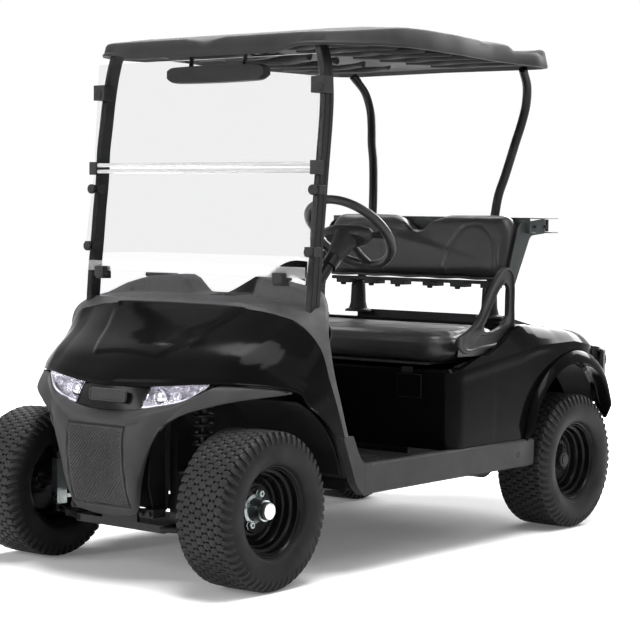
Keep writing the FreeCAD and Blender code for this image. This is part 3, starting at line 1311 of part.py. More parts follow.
def rear_axle():
    """Axle tubes, reduction gearbox and motor, with the drums inside the rear wheels."""
    centre = Vector(0, REAR_Y, TYRE_RADIUS)
    inner_face = REAR_TRACK / 2 - HUB_INNER
    end = inner_face - SEAT_GAP * 2
    wide = Vector(end, 0, 0)
    tips = Vector(end + SPINDLE_LENGTH, 0, 0)
    tube = rod(centre - wide, centre + wide, AXLE_TUBE_RADIUS)
    spindle = rod(centre - tips, centre + tips, SPINDLE_RADIUS)
    half = GEARBOX_WIDTH / 2
    gearbox = rod(centre - Vector(half, 0, 0), centre + Vector(half, 0, 0), GEARBOX_RADIUS)
    motor_end = Vector(half / 2, REAR_Y - GEARBOX_RADIUS, TYRE_RADIUS)
    motor = rod(motor_end, motor_end + Vector(MOTOR_LENGTH, 0, 0), MOTOR_RADIUS)
    return fused(tube, spindle, gearbox, motor)


def rear_springs():
    """Leaf springs under the axle with their shackles to the rails, and a damper each."""
    low = TYRE_RADIUS - AXLE_TUBE_RADIUS - LEAF_THICK - SEAT_GAP
    shares = [(-1.0, 1.0), (-0.5, 0.25), (0.0, 0.0), (0.5, 0.25), (1.0, 1.0)]
    under = [(REAR_Y + s * LEAF_HALF, low + r * LEAF_RISE) for s, r in shares]
    over = [(y, z + LEAF_THICK) for y, z in reversed(under)]
    leaf = slab_x(under + over, LEAF_X - LEAF_WIDTH / 2, LEAF_X + LEAF_WIDTH / 2)
    pieces = []
    rail_side = RAIL_X + RAIL_WIDTH / 2 + SEAT_GAP
    for s in (-1, 1):
        y = REAR_Y + s * (LEAF_HALF - LEAF_THICK)
        z = low + LEAF_RISE + LEAF_THICK / 2
        up = Vector(LEAF_X, y, RAIL_BOTTOM + KICK_RISE + RAIL_HEIGHT / 2)
        pieces.append(rod(Vector(LEAF_X, y, z), up, LEAF_THICK / 2))
        pieces.append(rod(Vector(rail_side, y, up.z), up, LEAF_THICK / 2))
    return both_sides(fused(leaf, *pieces))


def battery_pack():
    base = RAIL_BOTTOM + RAIL_HEIGHT + SEAT_GAP
    return box(-PACK_HALF, PACK_HALF, PACK_FRONT_Y, PACK_REAR_Y, base, base + PACK_HEIGHT)


def corner_wheels():
    """Each wheel's name, centre and the way its face looks."""
    front = front_wheel_centre()
    rear = rear_wheel_centre()
    return [
        ("front_left", front, 1), ("front_right", Vector(-front.x, front.y, front.z), -1),
        ("rear_left", rear, 1), ("rear_right", Vector(-rear.x, rear.y, rear.z), -1),
    ]


def build():
    parts = {
        "frame": frame(),
        "front_suspension": front_suspension(),
        "front_springs": front_springs(),
        "knuckle_left": knuckle(),
        "knuckle_right": mirrored(knuckle()),
        "tie_rods": tie_rods(),
        "front_cowl": front_cowl(),
        "front_bumper": front_bumper(),
        "grille_panel": grille_panel(),
        "headlamps": headlamps(),
        "lamp_bezel": lamp_bezel(),
        "dash": dash(),
        "floor_pan": floor_pan(),
        "sills": sills(),
        "rear_body": rear_body(),
        "bag_well": bag_well(),
        "rear_bumper": rear_bumper(),
        "arch_trims": arch_trims(),
        "wheel_liners": wheel_liners(),
        "seat_cushion": seat_cushion(),
        "seat_pan": seat_pan(),
        "seat_back": seat_back(),
        "seat_back_frame": seat_back_frame(),
        "hip_restraints": hip_restraints(),
        "bag_rack": bag_rack(),
        "canopy": canopy(),
        "front_struts": front_struts(),
        "rear_struts": rear_struts(),
        "windshield": windshield(),
        "windshield_fittings": windshield_fittings(),
        "mirror": mirror(),
        "steering_wheel": steering_wheel(),
        "steering_column": steering_column(),
        "pedals": pedals(),
        "rear_axle": rear_axle(),
        "rear_springs": rear_springs(),
        "battery_pack": battery_pack(),
    }
    for name, centre, outward in corner_wheels():
        parts["tyre_" + name] = tyre(centre)
        parts["rim_" + name] = rim(centre, outward)
    return parts


def main():
    os.makedirs("parts", exist_ok=True)
    for name, shape in build().items():
        solids = shape.Solids
        print(name, len(solids), "valid" if shape.isValid() else "NOT VALID", round(shape.Volume / 1000.0))
        shape.exportStep("parts/" + name + ".step")


main()
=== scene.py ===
"""The looks of the golf cart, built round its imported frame."""
import math

import bmesh
import bpy
import numpy as np
from mathutils import Matrix, Vector


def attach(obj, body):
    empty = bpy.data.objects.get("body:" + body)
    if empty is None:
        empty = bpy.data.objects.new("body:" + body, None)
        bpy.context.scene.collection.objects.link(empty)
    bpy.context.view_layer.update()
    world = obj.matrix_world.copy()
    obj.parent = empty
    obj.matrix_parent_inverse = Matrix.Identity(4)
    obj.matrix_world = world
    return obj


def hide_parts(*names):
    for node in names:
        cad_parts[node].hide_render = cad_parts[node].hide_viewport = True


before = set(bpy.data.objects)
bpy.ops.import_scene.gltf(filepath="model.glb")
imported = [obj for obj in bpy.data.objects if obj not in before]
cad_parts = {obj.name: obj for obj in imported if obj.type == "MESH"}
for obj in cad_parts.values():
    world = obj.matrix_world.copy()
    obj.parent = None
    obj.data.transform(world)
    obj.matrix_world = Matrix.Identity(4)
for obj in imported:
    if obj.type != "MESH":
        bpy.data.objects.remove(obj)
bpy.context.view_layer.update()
ROOT = "chassis"
SIDES = ((1, "left"), (-1, "right"))
FRONT_Y, REAR_Y, AXLE_Z = -0.9745, 0.6945, 0.245
FRONT_X, REAR_X = 0.4595, 0.4935


# Materials
def shade(name, color, rough, metal=0.0, spec=0.5, coat=0.0, coat_rough=0.05, bumps=(), mottle=0.0,
          mottle_scale=6.0, rough_var=0.0, trans=0.0, ior=1.5, emit=0.0, wear=0.0):
    """A procedural material: colour mottling, roughness variation, edge wear and stacked bump layers."""
    m = bpy.data.materials.new(name)
    m.use_nodes = True
    tree = m.node_tree
    tree.nodes.clear()
    out = tree.nodes.new("ShaderNodeOutputMaterial")
    p = tree.nodes.new("ShaderNodeBsdfPrincipled")
    tree.links.new(p.outputs[0], out.inputs[0])
    p.inputs["Base Color"].default_value = (*color, 1)
    p.inputs["Roughness"].default_value = rough
    p.inputs["Metallic"].default_value = metal
    p.inputs["Specular IOR Level"].default_value = spec
    p.inputs["Coat Weight"].default_value = coat
    p.inputs["Coat Roughness"].default_value = coat_rough
    p.inputs["Transmission Weight"].default_value = trans
    p.inputs["IOR"].default_value = ior
    if emit:
        p.inputs["Emission Color"].default_value = (*color, 1)
        p.inputs["Emission Strength"].default_value = emit
    coords = tree.nodes.new("ShaderNodeTexCoord")
    place = coords.outputs["Object"]

    def noise(scale, detail=3.0):
        n = tree.nodes.new("ShaderNodeTexNoise")
        n.inputs["Scale"].default_value = scale
        n.inputs["Detail"].default_value = detail
        n.inputs["Roughness"].default_value = 0.55
        tree.links.new(place, n.inputs["Vector"])
        return n.outputs["Fac"]

    def ramp(source, low, high, lo_pos=0.35, hi_pos=0.65):
        r = tree.nodes.new("ShaderNodeMapRange")
        r.inputs["From Min"].default_value = lo_pos
        r.inputs["From Max"].default_value = hi_pos
        r.inputs["To Min"].default_value = low
        r.inputs["To Max"].default_value = high
        tree.links.new(source, r.inputs["Value"])
        return r.outputs[0]

    if mottle or wear:
        mix = tree.nodes.new("ShaderNodeMix")
        mix.data_type = "RGBA"
        mix.inputs["A"].default_value = (*[c * (1 - mottle) for c in color], 1)
        mix.inputs["B"].default_value = (*[min(1, c * (1 + mottle) + 0.002) for c in color], 1)
        tree.links.new(ramp(noise(mottle_scale), 0, 1), mix.inputs["Factor"])
        colour = mix.outputs["Result"]
        if wear:
            geo = tree.nodes.new("ShaderNodeNewGeometry")
            edge = tree.nodes.new("ShaderNodeMix")
            edge.data_type = "RGBA"
            edge.inputs["B"].default_value = (*[min(1, c * 1.8 + 0.02) for c in color], 1)
            tree.links.new(colour, edge.inputs["A"])
            tree.links.new(ramp(geo.outputs["Pointiness"], 0, wear, 0.52, 0.6), edge.inputs["Factor"])
            colour = edge.outputs["Result"]
        tree.links.new(colour, p.inputs["Base Color"])
    if rough_var:
        tree.links.new(ramp(noise(9.0, 4.0), max(0, rough - rough_var), min(1, rough + rough_var)),
                       p.inputs["Roughness"])
    last = None
    for kind, scale, strength, distance in bumps:
        if kind == "noise":
            height = noise(scale, 2.0)
        else:
            v = tree.nodes.new("ShaderNodeTexVoronoi")
            v.inputs["Scale"].default_value = scale
            tree.links.new(place, v.inputs["Vector"])
            height = v.outputs["Distance"]
        b = tree.nodes.new("ShaderNodeBump")
        b.inputs["Strength"].default_value = strength
        b.inputs["Distance"].default_value = distance
        tree.links.new(height, b.inputs["Height"])
        if last:
            tree.links.new(last, b.inputs["Normal"])
        last = b.outputs["Normal"]
    if last:
        tree.links.new(last, p.inputs["Normal"])
    return m


GLOSS = shade("gloss_black", (0.0026, 0.0026, 0.0028), 0.11, ior=1.09, mottle=0.1, mottle_scale=3,
              bumps=[("noise", 90.0, 0.01, 0.0002)])
BEZEL = shade("bezel_black", (0.0035, 0.0035, 0.004), 0.24, spec=0.12, mottle=0.2, mottle_scale=12,
              bumps=[("noise", 60.0, 0.05, 0.0005)])
SATIN = shade("satin_grey", (0.0285, 0.028, 0.029), 0.52, spec=0.12, mottle=0.06, mottle_scale=14,
              rough_var=0.05, bumps=[("noise", 900.0, 0.10, 0.0004)], wear=0.3)
SATIN_DARK = shade("satin_dark", (0.013, 0.013, 0.0135), 0.5, spec=0.10, mottle=0.1, mottle_scale=20,
                   rough_var=0.06, bumps=[("noise", 700.0, 0.12, 0.0004)])
DASH = shade("dash_grain", (0.072, 0.071, 0.073), 0.6, spec=0.08, mottle=0.08, mottle_scale=30,
             rough_var=0.05, bumps=[("voronoi", 420.0, 0.35, 0.0006), ("noise", 120.0, 0.1, 0.0006)])
ROOF = shade("roof_grain", (0.0200, 0.0195, 0.0205), 0.62, spec=0.10, mottle=0.07, mottle_scale=18,
             rough_var=0.05, bumps=[("noise", 500.0, 0.2, 0.0006)], wear=0.2)
MATTE = shade("matte_black", (0.010, 0.010, 0.011), 0.55, spec=0.18, mottle=0.2, mottle_scale=25,
              rough_var=0.06, bumps=[("noise", 800.0, 0.12, 0.0004)], wear=0.3)
POWDER = shade("powder_black", (0.0075, 0.0075, 0.008), 0.34, spec=0.15, mottle=0.15, mottle_scale=12,
               rough_var=0.05, bumps=[("noise", 1500.0, 0.08, 0.0003)])
LINER = shade("liner_black", (0.006, 0.006, 0.0065), 0.6, spec=0.10, mottle=0.3, mottle_scale=9,
              rough_var=0.08, bumps=[("noise", 300.0, 0.2, 0.0006)])
RUBBER = shade("tyre_rubber", (0.0060, 0.0060, 0.0062), 0.56, spec=0.12, mottle=0.22, mottle_scale=16,
               rough_var=0.08, bumps=[("noise", 600.0, 0.18, 0.0005), ("noise", 60.0, 0.08, 0.001)], wear=0.5)
RIM = shade("rim_gloss", (0.0030, 0.0030, 0.0033), 0.24, spec=0.06, coat=0.04, coat_rough=0.08, mottle=0.15,
            mottle_scale=14, bumps=[("noise", 60.0, 0.04, 0.0008)])
ZINC = shade("zinc_plate", (0.30, 0.33, 0.33), 0.32, metal=1.0, mottle=0.25, mottle_scale=60, rough_var=0.12,
             bumps=[("noise", 300.0, 0.1, 0.0004)], wear=0.4)
STEEL = shade("bright_steel", (0.62, 0.62, 0.62), 0.38, metal=1.0, mottle=0.15, mottle_scale=80,
              rough_var=0.1, bumps=[("noise", 400.0, 0.08, 0.0003)])
GRIP = shade("wheel_grip", (0.014, 0.014, 0.015), 0.42, spec=0.25, mottle=0.1, mottle_scale=40,
             rough_var=0.05, bumps=[("noise", 700.0, 0.12, 0.0004)])
HOOP_BLACK = shade("hoop_black", (0.0060, 0.0060, 0.0063), 0.40, spec=0.09, mottle=0.12, mottle_scale=30,
                   rough_var=0.05, bumps=[("noise", 600.0, 0.14, 0.0005)], wear=0.3)
VINYL = shade("seat_vinyl", (0.0155, 0.0148, 0.0158), 0.38, spec=0.26, mottle=0.07, mottle_scale=20,
              rough_var=0.06, bumps=[("voronoi", 520.0, 0.22, 0.0005), ("noise", 14.0, 0.12, 0.004)])
VINYL_GRAIN = shade("seat_insert", (0.036, 0.035, 0.037), 0.5, spec=0.30, mottle=0.12, mottle_scale=40,
                    rough_var=0.06, bumps=[("voronoi", 240.0, 0.5, 0.0009), ("noise", 14.0, 0.12, 0.004)])
MAT = shade("floor_mat", (0.009, 0.009, 0.0095), 0.6, spec=0.20, mottle=0.3, mottle_scale=30, rough_var=0.08,
            bumps=[("noise", 500.0, 0.2, 0.0005)])
RACK = shade("rack_steel", (0.0165, 0.0205, 0.0200), 0.42, spec=0.20, mottle=0.12, mottle_scale=22,
             rough_var=0.07, bumps=[("noise", 900.0, 0.1, 0.0003)], wear=0.5)
ACRYLIC = shade("clear_acrylic", (0.868, 0.868, 0.87), 0.02, spec=0.3, trans=1.0, ior=1.03)
ACRYLIC_EDGE = shade("acrylic_edge", (0.56, 0.55, 0.56), 0.25, spec=0.5, trans=0.35, ior=1.3)
FROST = shade("acrylic_strip", (0.985, 0.985, 0.985), 0.3, spec=0.2, trans=0.9, ior=1.02)
LENS = shade("lamp_lens", (0.93, 0.92, 0.95), 0.03, spec=0.5, trans=1.0, ior=1.2)
CHROME = shade("lamp_chrome", (0.86, 0.85, 0.90), 0.14, metal=1.0, mottle=0.1, mottle_scale=90,
               bumps=[("noise", 90.0, 0.25, 0.002)])
LAMP_WHITE = shade("lamp_guide", (0.72, 0.71, 0.78), 0.25, spec=0.5, mottle=0.08, mottle_scale=60, emit=0.12)
LAMP_FACET = shade("lamp_facets", (0.74, 0.73, 0.78), 0.2, metal=0.8, mottle=0.2, mottle_scale=120,
                   bumps=[("voronoi", 160.0, 0.9, 0.004)])
MIRROR_GLASS = shade("mirror_face", (0.55, 0.56, 0.57), 0.08, metal=1.0, mottle=0.05)
BATTERY = shade("battery_case", (0.02, 0.02, 0.021), 0.6, spec=0.2, mottle=0.2,
                bumps=[("noise", 300.0, 0.1, 0.0006)])


# Mesh helpers
def add(name, verts, faces, materials, index, body=ROOT, replaces=(), slot=None, angle=32, bevel=0.0,
        solid=0.0, segments=2, offset=-1.0, weld=False):
    """A mesh object in metres, shaded by angle, with its bevel and skin, riding on its body."""
    mesh = bpy.data.meshes.new(name)
    mesh.from_pydata([tuple(map(float, v)) for v in verts], [], [tuple(f) for f in faces])
    mesh.validate()
    mesh.update()
    for material in materials:
        mesh.materials.append(material)
    for polygon, i in zip(mesh.polygons, index):
        polygon.material_index = i
    if weld:
        form = bmesh.new()
        form.from_mesh(mesh)
        bmesh.ops.remove_doubles(form, verts=form.verts, dist=1e-5)
        bmesh.ops.recalc_face_normals(form, faces=form.faces)
        form.to_mesh(mesh)
        form.free()
    mesh.shade_smooth()
    mesh.set_sharp_from_angle(angle=math.radians(angle))
    obj = bpy.data.objects.new(name, mesh)
    bpy.context.collection.objects.link(obj)
    if solid:
        mod = obj.modifiers.new("skin", "SOLIDIFY")
        mod.thickness = solid
        mod.offset = offset
        mod.use_even_offset = False
    if bevel:
        mod = obj.modifiers.new("bevel", "BEVEL")
        mod.width = bevel
        mod.segments = segments
        mod.limit_method = "ANGLE"
        mod.angle_limit = math.radians(angle)
        mod.harden_normals = False
    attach(obj, body)
    if replaces:
        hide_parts(*replaces)
    return obj


class Build:
    """Collects simple shapes into one mesh."""

    def __init__(self):
        self.v, self.f, self.m = [], [], []

    def put(self, verts, faces, material=0):
        """Adds points and the faces that count from them."""
        n = len(self.v)
        self.v += [Vector(v) for v in verts]
        self.f += [tuple(i + n for i in face) for face in faces]
        self.m += [material] * len(faces)

    def box(self, x0, x1, y0, y1, z0, z1):
        """A plain block between two places on each axis."""
        verts = [Vector((x, y, z)) for x in (x0, x1) for y in (y0, y1) for z in (z0, z1)]
        self.put(verts, [(0, 1, 3, 2), (4, 6, 7, 5), (0, 4, 5, 1), (2, 3, 7, 6), (0, 2, 6, 4), (1, 5, 7, 3)])

    def prism(self, outline, x0, x1, axis=0, material=0):
        """An outline of the other two axes stretched along one axis."""
        def at(p, d):
            c = list(p)
            c.insert(axis, d)
            return Vector(c)
        n = len(outline)
        verts = [at(p, x0) for p in outline] + [at(p, x1) for p in outline]
        faces = [tuple(range(n)), tuple(range(2 * n - 1, n - 1, -1))]
        faces += [(i, (i + 1) % n, (i + 1) % n + n, i + n) for i in range(n)]
        self.put(verts, faces, material)

    def tube(self, points, radius, sides=16, material=0, caps=True):
        """A round tube along points, with one radius or one for each point."""
        pts = [Vector(p) for p in points]
        radii = radius if isinstance(radius, (list, tuple)) else [radius] * len(pts)
        up = None
        verts = []
        for i, p in enumerate(pts):
            d = (pts[min(i + 1, len(pts) - 1)] - pts[max(i - 1, 0)]).normalized()
            if up is None:
                up = Vector((1, 0, 0)) if abs(d.x) < 0.8 else Vector((0, 0, 1))
            side = d.cross(up).normalized()
            up = side.cross(d).normalized()
            for k in range(sides):
                a = 2 * math.pi * k / sides
                verts.append(p + (side * math.cos(a) + up * math.sin(a)) * radii[i])
        faces = []
        for i in range(len(pts) - 1):
            for k in range(sides):
                a, b = i * sides + k, i * sides + (k + 1) % sides
                faces.append((a, b, b + sides, a + sides))
        if caps:
            faces.append(tuple(reversed(range(sides))))
            faces.append(tuple(range(len(verts) - sides, len(verts))))
        self.put(verts, faces, material)

    def lathe(self, profile, centre, axis=0, segments=64, material=0, turn=1):
        """A (distance along the axis, radius) profile turned about the axis through the centre."""
        c = Vector(centre)
        rings = []
        verts = []
        for a, r in profile:
            ring = []
            count = 1 if r < 1e-6 else segments
            for k in range(count):
                t = 2 * math.pi * k / segments
                local = [r * math.cos(t), r * math.sin(t)]
                local.insert(axis, a * turn)
                ring.append(len(verts))
                verts.append(c + Vector(local))
            rings.append(ring)
        faces = []
        for one, two in zip(rings, rings[1:]):
            for k in range(segments):
                k2 = (k + 1) % segments
                quad = [one[k % len(one)], one[k2 % len(one)], two[k2 % len(two)], two[k % len(two)]]
                face = list(dict.fromkeys(quad))
                if len(face) > 2:
                    faces.append(tuple(face))
        self.put(verts, faces, material)

    def grid(self, pts, material=0, wrap=False, flip=False):
        """A sheet through rows of points; wrap joins each row's end to its start."""
        rows, cols = len(pts), len(pts[0])
        verts = [p for row in pts for p in row]
        faces = []
        for i in range(rows - 1):
            for j in range(cols if wrap else cols - 1):
                k = (j + 1) % cols
                face = (i * cols + j, i * cols + k, (i + 1) * cols + k, (i + 1) * cols + j)
                faces.append(tuple(reversed(face)) if flip else face)
        self.put(verts, faces, material)

    def cap(self, ring, material=0, flip=False):
        """Closes the end of a row of rings with one face."""
        order = range(len(ring))
        self.put(ring, [tuple(reversed(order)) if flip else tuple(order)], material)

    def place(self, name, mats, **options):
        """Makes the mesh an object of the scene, with one material or several."""
        mats = mats if isinstance(mats, (list, tuple)) else [mats]
        return add(name, self.v, self.f, mats, self.m, **options)


def spline(points, count):
    """Points resampled on a smooth curve through them."""
    p = np.array([list(q) for q in points], float)
    t = np.concatenate([[0], np.cumsum(np.linalg.norm(np.diff(p, axis=0), axis=1))])
    return hermite(t, p, np.linspace(0, t[-1], count))


def hermite(t, p, x):
    """Values at x on a smooth curve through the values p at the places t."""
    slope = np.gradient(p, t, axis=0)
    i = np.clip(np.searchsorted(t, x, side="right") - 1, 0, len(t) - 2)
    h = (t[i + 1] - t[i])
    s = ((x - t[i]) / h)
    shape = (-1,) + (1,) * (p.ndim - 1)
    s, h = s.reshape(shape), h.reshape(shape)
    return ((2 * s**3 - 3 * s**2 + 1) * p[i] + (s**3 - 2 * s**2 + s) * h * slope[i]
            + (-2 * s**3 + 3 * s**2) * p[i + 1] + (s**3 - s**2) * h * slope[i + 1])


def surface(grid, nu, nv):
    """A smooth sheet through a grid of points, resampled."""
    g = np.array(grid, float)
    rows = hermite(np.arange(g.shape[0], dtype=float), g, np.linspace(0, g.shape[0] - 1, nu))
    cols = hermite(np.arange(g.shape[1], dtype=float), rows.transpose(1, 0, 2),
                   np.linspace(0, g.shape[1] - 1, nv))
    return cols.transpose(1, 0, 2)


def step(x, a, b):
    """0 below a and 1 above b, smooth between."""
    t = np.clip((np.asarray(x, float) - a) / (b - a), 0, 1)
    return t * t * (3 - 2 * t)


def ease(x, a, b):
    """The same for one number."""
    return float(step(x, a, b))


def band(x, a, b, soft):
    """1 between a and b and 0 outside, with soft ends."""
    return step(x, a - soft / 2, a + soft / 2) * (1 - step(x, b - soft / 2, b + soft / 2))


def both(columns):
    """A half grid from the centre outwards with its mirror image in front."""
    g = np.array(columns, float)
    left = g[:0:-1].copy()
    left[..., 0] *= -1
    return np.concatenate([left, g])


def normals(g):
    """The unit normals of a grid of points."""
    du = np.gradient(g, axis=0)
    dv = np.gradient(g, axis=1)
    n = np.cross(dv, du)
    return n / np.maximum(np.linalg.norm(n, axis=2, keepdims=True), 1e-9)


def rounded_poly(points, radius, steps=5):
    """A closed outline with its corners rounded; radius may be a list."""
    out = []
    n = len(points)
    radii = radius if isinstance(radius, (list, tuple)) else [radius] * n
    for i in range(n):
        p = Vector(points[i])
        a, b = Vector(points[i - 1]) - p, Vector(points[(i + 1) % n]) - p
        r = min(radii[i], a.length * 0.45, b.length * 0.45)
        if r <= 0:
            out.append(tuple(p))
            continue
        a.normalize()
        b.normalize()
        for k in range(steps + 1):
            t = k / steps
            out.append(tuple(p + a * r * (1 - t) ** 2 + b * r * t ** 2))
    return out


def coat(node, material):
    """A new material on a CAD node that stays."""
    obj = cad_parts[node]
    obj.data.materials.clear()
    obj.data.materials.append(material)
    for polygon in obj.data.polygons:
        polygon.material_index = 0


# Wheels
BLOCK = [(-0.62, -0.30), (-0.62, 0.30), (-0.12, 0.47), (0.12, 0.47), (0.62, 0.30), (0.62, -0.30),
         (0.12, -0.47), (-0.12, -0.47)]
LUG_ROWS = [(0.0835, 0.2418, 0.2350, 0.30), (0.0900, 0.2405, 0.2330, 0.30), (0.0965, 0.2340, 0.2255, 0.29),
            (0.1010, 0.2265, 0.2180, 0.25), (0.1052, 0.2150, 0.2080, 0.17)]
NUT_CIRCLE, NUTS = 0.0508, 4


def tread(name, x, y, side):
    """A turf tyre: turned carcass, staggered hexagon blocks and shoulder lugs."""
    b = Build()
    half, tread_half, r0 = 0.1065, 0.0905, 0.245
    base = r0 - 0.0075
    profile = [
        (0.073, 0.1290), (0.0785, 0.1385), (0.0835, 0.1425), (0.0905, 0.1440), (0.0965, 0.1480),
        (0.1010, 0.1560), (0.1045, 0.1680), (half, 0.1830), (0.1060, 0.1960), (0.1040, 0.2090),
        (0.1005, 0.2190), (0.0950, 0.2285), (0.0885, 0.2340), (0.0780, 0.2365), (0.0400, base),
        (0.0, base + 0.0005),
    ]
    carcass = profile + [(-a, r) for a, r in reversed(profile[:-1])]
    b.lathe(carcass, (x, y, AXLE_Z), segments=96)
    count, columns = 54, 7
    pitch = 2 * math.pi / count
    width = 2 * (tread_half - 0.006) / columns
    for c in range(columns):
        mid = -tread_half + 0.006 + width * (c + 0.5)
        crown = r0 - 0.0022 * (abs(mid) / tread_half) ** 2.5
        for k in range(count):
            turn = pitch * (k + (0.5 if c % 2 else 0.0))
            rings = []
            for grow, radius in ((1.02, base - 0.002), (0.93, crown - 0.0012), (0.80, crown)):
                for px, py in BLOCK:
                    a = turn + py * pitch * grow
                    rings.append((mid + px * width * grow * 0.93, a, radius))
            n = len(BLOCK)
            verts = [(x + a, y + math.cos(t) * r, AXLE_Z + math.sin(t) * r) for a, t, r in rings]
            faces = [(i, (i + 1) % n, (i + 1) % n + n, i + n) for i in range(n)]
            faces += [(i + n, (i + 1) % n + n, (i + 1) % n + 2 * n, i + 2 * n) for i in range(n)]
            faces.append(tuple(range(2 * n, 3 * n)))
            b.put(verts, faces)
    for s in (-1, 1):
        for k in range(count):
            turn = pitch * (k + 0.25)
            verts, faces = [], []
            for a, top, low, w in LUG_ROWS:
                for t, r in ((-w, low), (-w * 0.78, top), (w * 0.78, top), (w, low)):
                    ang = turn + t * pitch + (a - 0.083) * 2.2 * s * side
                    verts.append((x + s * a, y + math.cos(ang) * r, AXLE_Z + math.sin(ang) * r))
            for i in range(len(LUG_ROWS) - 1):
                for j in range(3):
                    q = (i * 4 + j, i * 4 + j + 1, i * 4 + j + 5, i * 4 + j + 4)
                    faces.append(q if s > 0 else tuple(reversed(q)))
            e = (len(LUG_ROWS) - 1) * 4
            faces.append((e, e + 1, e + 2, e + 3) if s > 0 else (e + 3, e + 2, e + 1, e))
            faces.append((3, 2, 1, 0) if s > 0 else (0, 1, 2, 3))
            b.put(verts, faces)
    b.place(name + "_tread", RUBBER, body="wheel_" + name, replaces=("tyre_" + name,), slot="tyre_rubber",
            angle=38)


def wheel(name, x, y, side, front):
    """A stepped steel rim with its nuts, hub and cap."""
    b = Build()
    hub = (x, y, AXLE_Z)
    outer = [
        (0.0805, 0.1410), (0.0825, 0.1395), (0.0820, 0.1365), (0.0790, 0.1335), (0.0745, 0.1310),
        (0.0680, 0.1285), (0.0610, 0.1268), (0.0560, 0.1262), (0.0540, 0.1235), (0.0525, 0.1190),
        (0.0500, 0.1165), (0.0420, 0.1150), (0.0330, 0.1140), (0.0305, 0.1120), (0.0290, 0.1085),
        (0.0250, 0.1060), (0.0160, 0.1035), (0.0080, 0.1010), (0.0040, 0.0960), (0.0055, 0.0900),
        (0.0100, 0.0860), (0.0125, 0.0800), (0.0125, 0.0740), (0.0100, 0.0700), (0.0080, 0.0660),
        (0.0080, 0.0300),
    ]
    b.lathe(outer, hub, segments=96, turn=side)
    back = [(0.0040, 0.0300), (0.0030, 0.0960), (-0.006, 0.1010), (-0.020, 0.1030), (-0.030, 0.1180),
            (-0.070, 0.1235), (-0.078, 0.1290), (-0.0805, 0.1345), (-0.0820, 0.1395), (-0.0800, 0.1410),
            (-0.0770, 0.1390), (-0.074, 0.1300), (-0.030, 0.1225), (-0.018, 0.1080), (0.018, 0.1080),
            (0.030, 0.1200), (0.073, 0.1290), (0.0770, 0.1370), (0.0805, 0.1410)]
    b.lathe(back, hub, segments=64, turn=side)
    for k in range(NUTS):
        a = 2 * math.pi * (k + 0.5) / NUTS + (0.35 if front else 0.1)
        c = Vector((x, y + math.cos(a) * NUT_CIRCLE, AXLE_Z + math.sin(a) * NUT_CIRCLE))
        nut = [(0.006, 0.0135), (0.0095, 0.0135), (0.0105, 0.0120), (0.0210, 0.0118), (0.0235, 0.0095),
               (0.0235, 0.0062), (0.0180, 0.0058), (0.0180, 0.0)]
        b.lathe(nut, c, segments=6, turn=side, material=1 if front else 2)
    if front:
        cap = [(0.004, 0.046), (0.010, 0.0455), (0.012, 0.036), (0.018, 0.0335), (0.046, 0.0320),
               (0.052, 0.0330), (0.055, 0.0325), (0.0555, 0.0255)]
        b.lathe(cap, hub, segments=48, turn=side, material=1)
        b.lathe([(0.0555, 0.0258), (0.0600, 0.0275), (0.0640, 0.0278), (0.0640, 0.0262)], hub,
                segments=48, turn=side, material=2)
        b.lathe([(0.0600, 0.0262), (0.0690, 0.0262), (0.0725, 0.0250), (0.0732, 0.0225), (0.0728, 0.0)], hub,
                segments=48, turn=side, material=3)
    else:
        b.lathe([(0.004, 0.034), (0.022, 0.033), (0.026, 0.0305), (0.042, 0.0295), (0.0455, 0.0270),
                 (0.0465, 0.0)], hub, segments=48, turn=side, material=2)
        b.lathe([(0.0465, 0.0), (0.0468, 0.0185), (0.0485, 0.0185), (0.049, 0.0)], hub, segments=32,
                turn=side)
    stem = Vector((x + side * 0.030, y - 0.075, AXLE_Z + 0.086))
    b.tube([stem, stem + Vector((side * 0.022, 0.008, -0.009)), stem + Vector((side * 0.034, 0.012, -0.013))],
           [0.0042, 0.0038, 0.0034], 10, material=2)
    b.place(name + "_wheel", [RIM, ZINC, MATTE, STEEL], body="wheel_" + name, replaces=("rim_" + name,),
            slot="rim_black", angle=28)


for corner, way, axle_x, axle_y in (
    ("front_left", 1, FRONT_X, FRONT_Y), ("front_right", -1, FRONT_X, FRONT_Y),
    ("rear_left", 1, REAR_X, REAR_Y), ("rear_right", -1, REAR_X, REAR_Y),
):
    tread(corner, way * axle_x, axle_y, way)
    wheel(corner, way * axle_x, axle_y, way, corner.startswith("front"))


# Front cowl
COWL_HALF, COWL_NOSE, COWL_LENGTH, COWL_BASE, COWL_RISE = 0.572, -1.133, 0.470, 0.445, 0.400
ARCH_RADIUS = 0.338
COWL_SHARES = [
    [(0, 0, .40), (0, .06, .52), (0, .165, .65), (0, .42, .80), (0, .715, 1.0)],
    [(.27, .055, .41), (.27, .11, .53), (.26, .19, .64), (.27, .42, .79), (.27, .715, 1.0)],
    [(.53, .145, .44), (.52, .19, .53), (.50, .26, .63), (.50, .46, .78), (.50, .70, .99)],
    [(.72, .26, .445), (.72, .31, .525), (.71, .38, .62), (.71, .55, .76), (.71, .73, .95)],
    [(.87, .41, .43), (.87, .45, .50), (.86, .50, .57), (.86, .62, .70), (.87, .74, .87)],
    [(.96, .56, .385), (.96, .59, .435), (.955, .63, .48), (.955, .70, .58), (.965, .79, .70)],
    [(.995, .60, .31), (.995, .65, .34), (.995, .71, .38), (.995, .78, .42), (.995, .84, .46)],
    [(1, .68, .20), (1, .74, .21), (1, .80, .22), (1, .86, .23), (1, .92, .24)],
    [(1, .84, 0), (1, .88, 0), (1, .92, 0), (1, .96, 0), (1, 1, 0)],
]
PANEL_Y = [-1.062, -1.028, -0.974, -0.913, -0.860, -0.790]
PANEL_X = [0.130, 0.154, 0.185, 0.214, 0.247, 0.284]
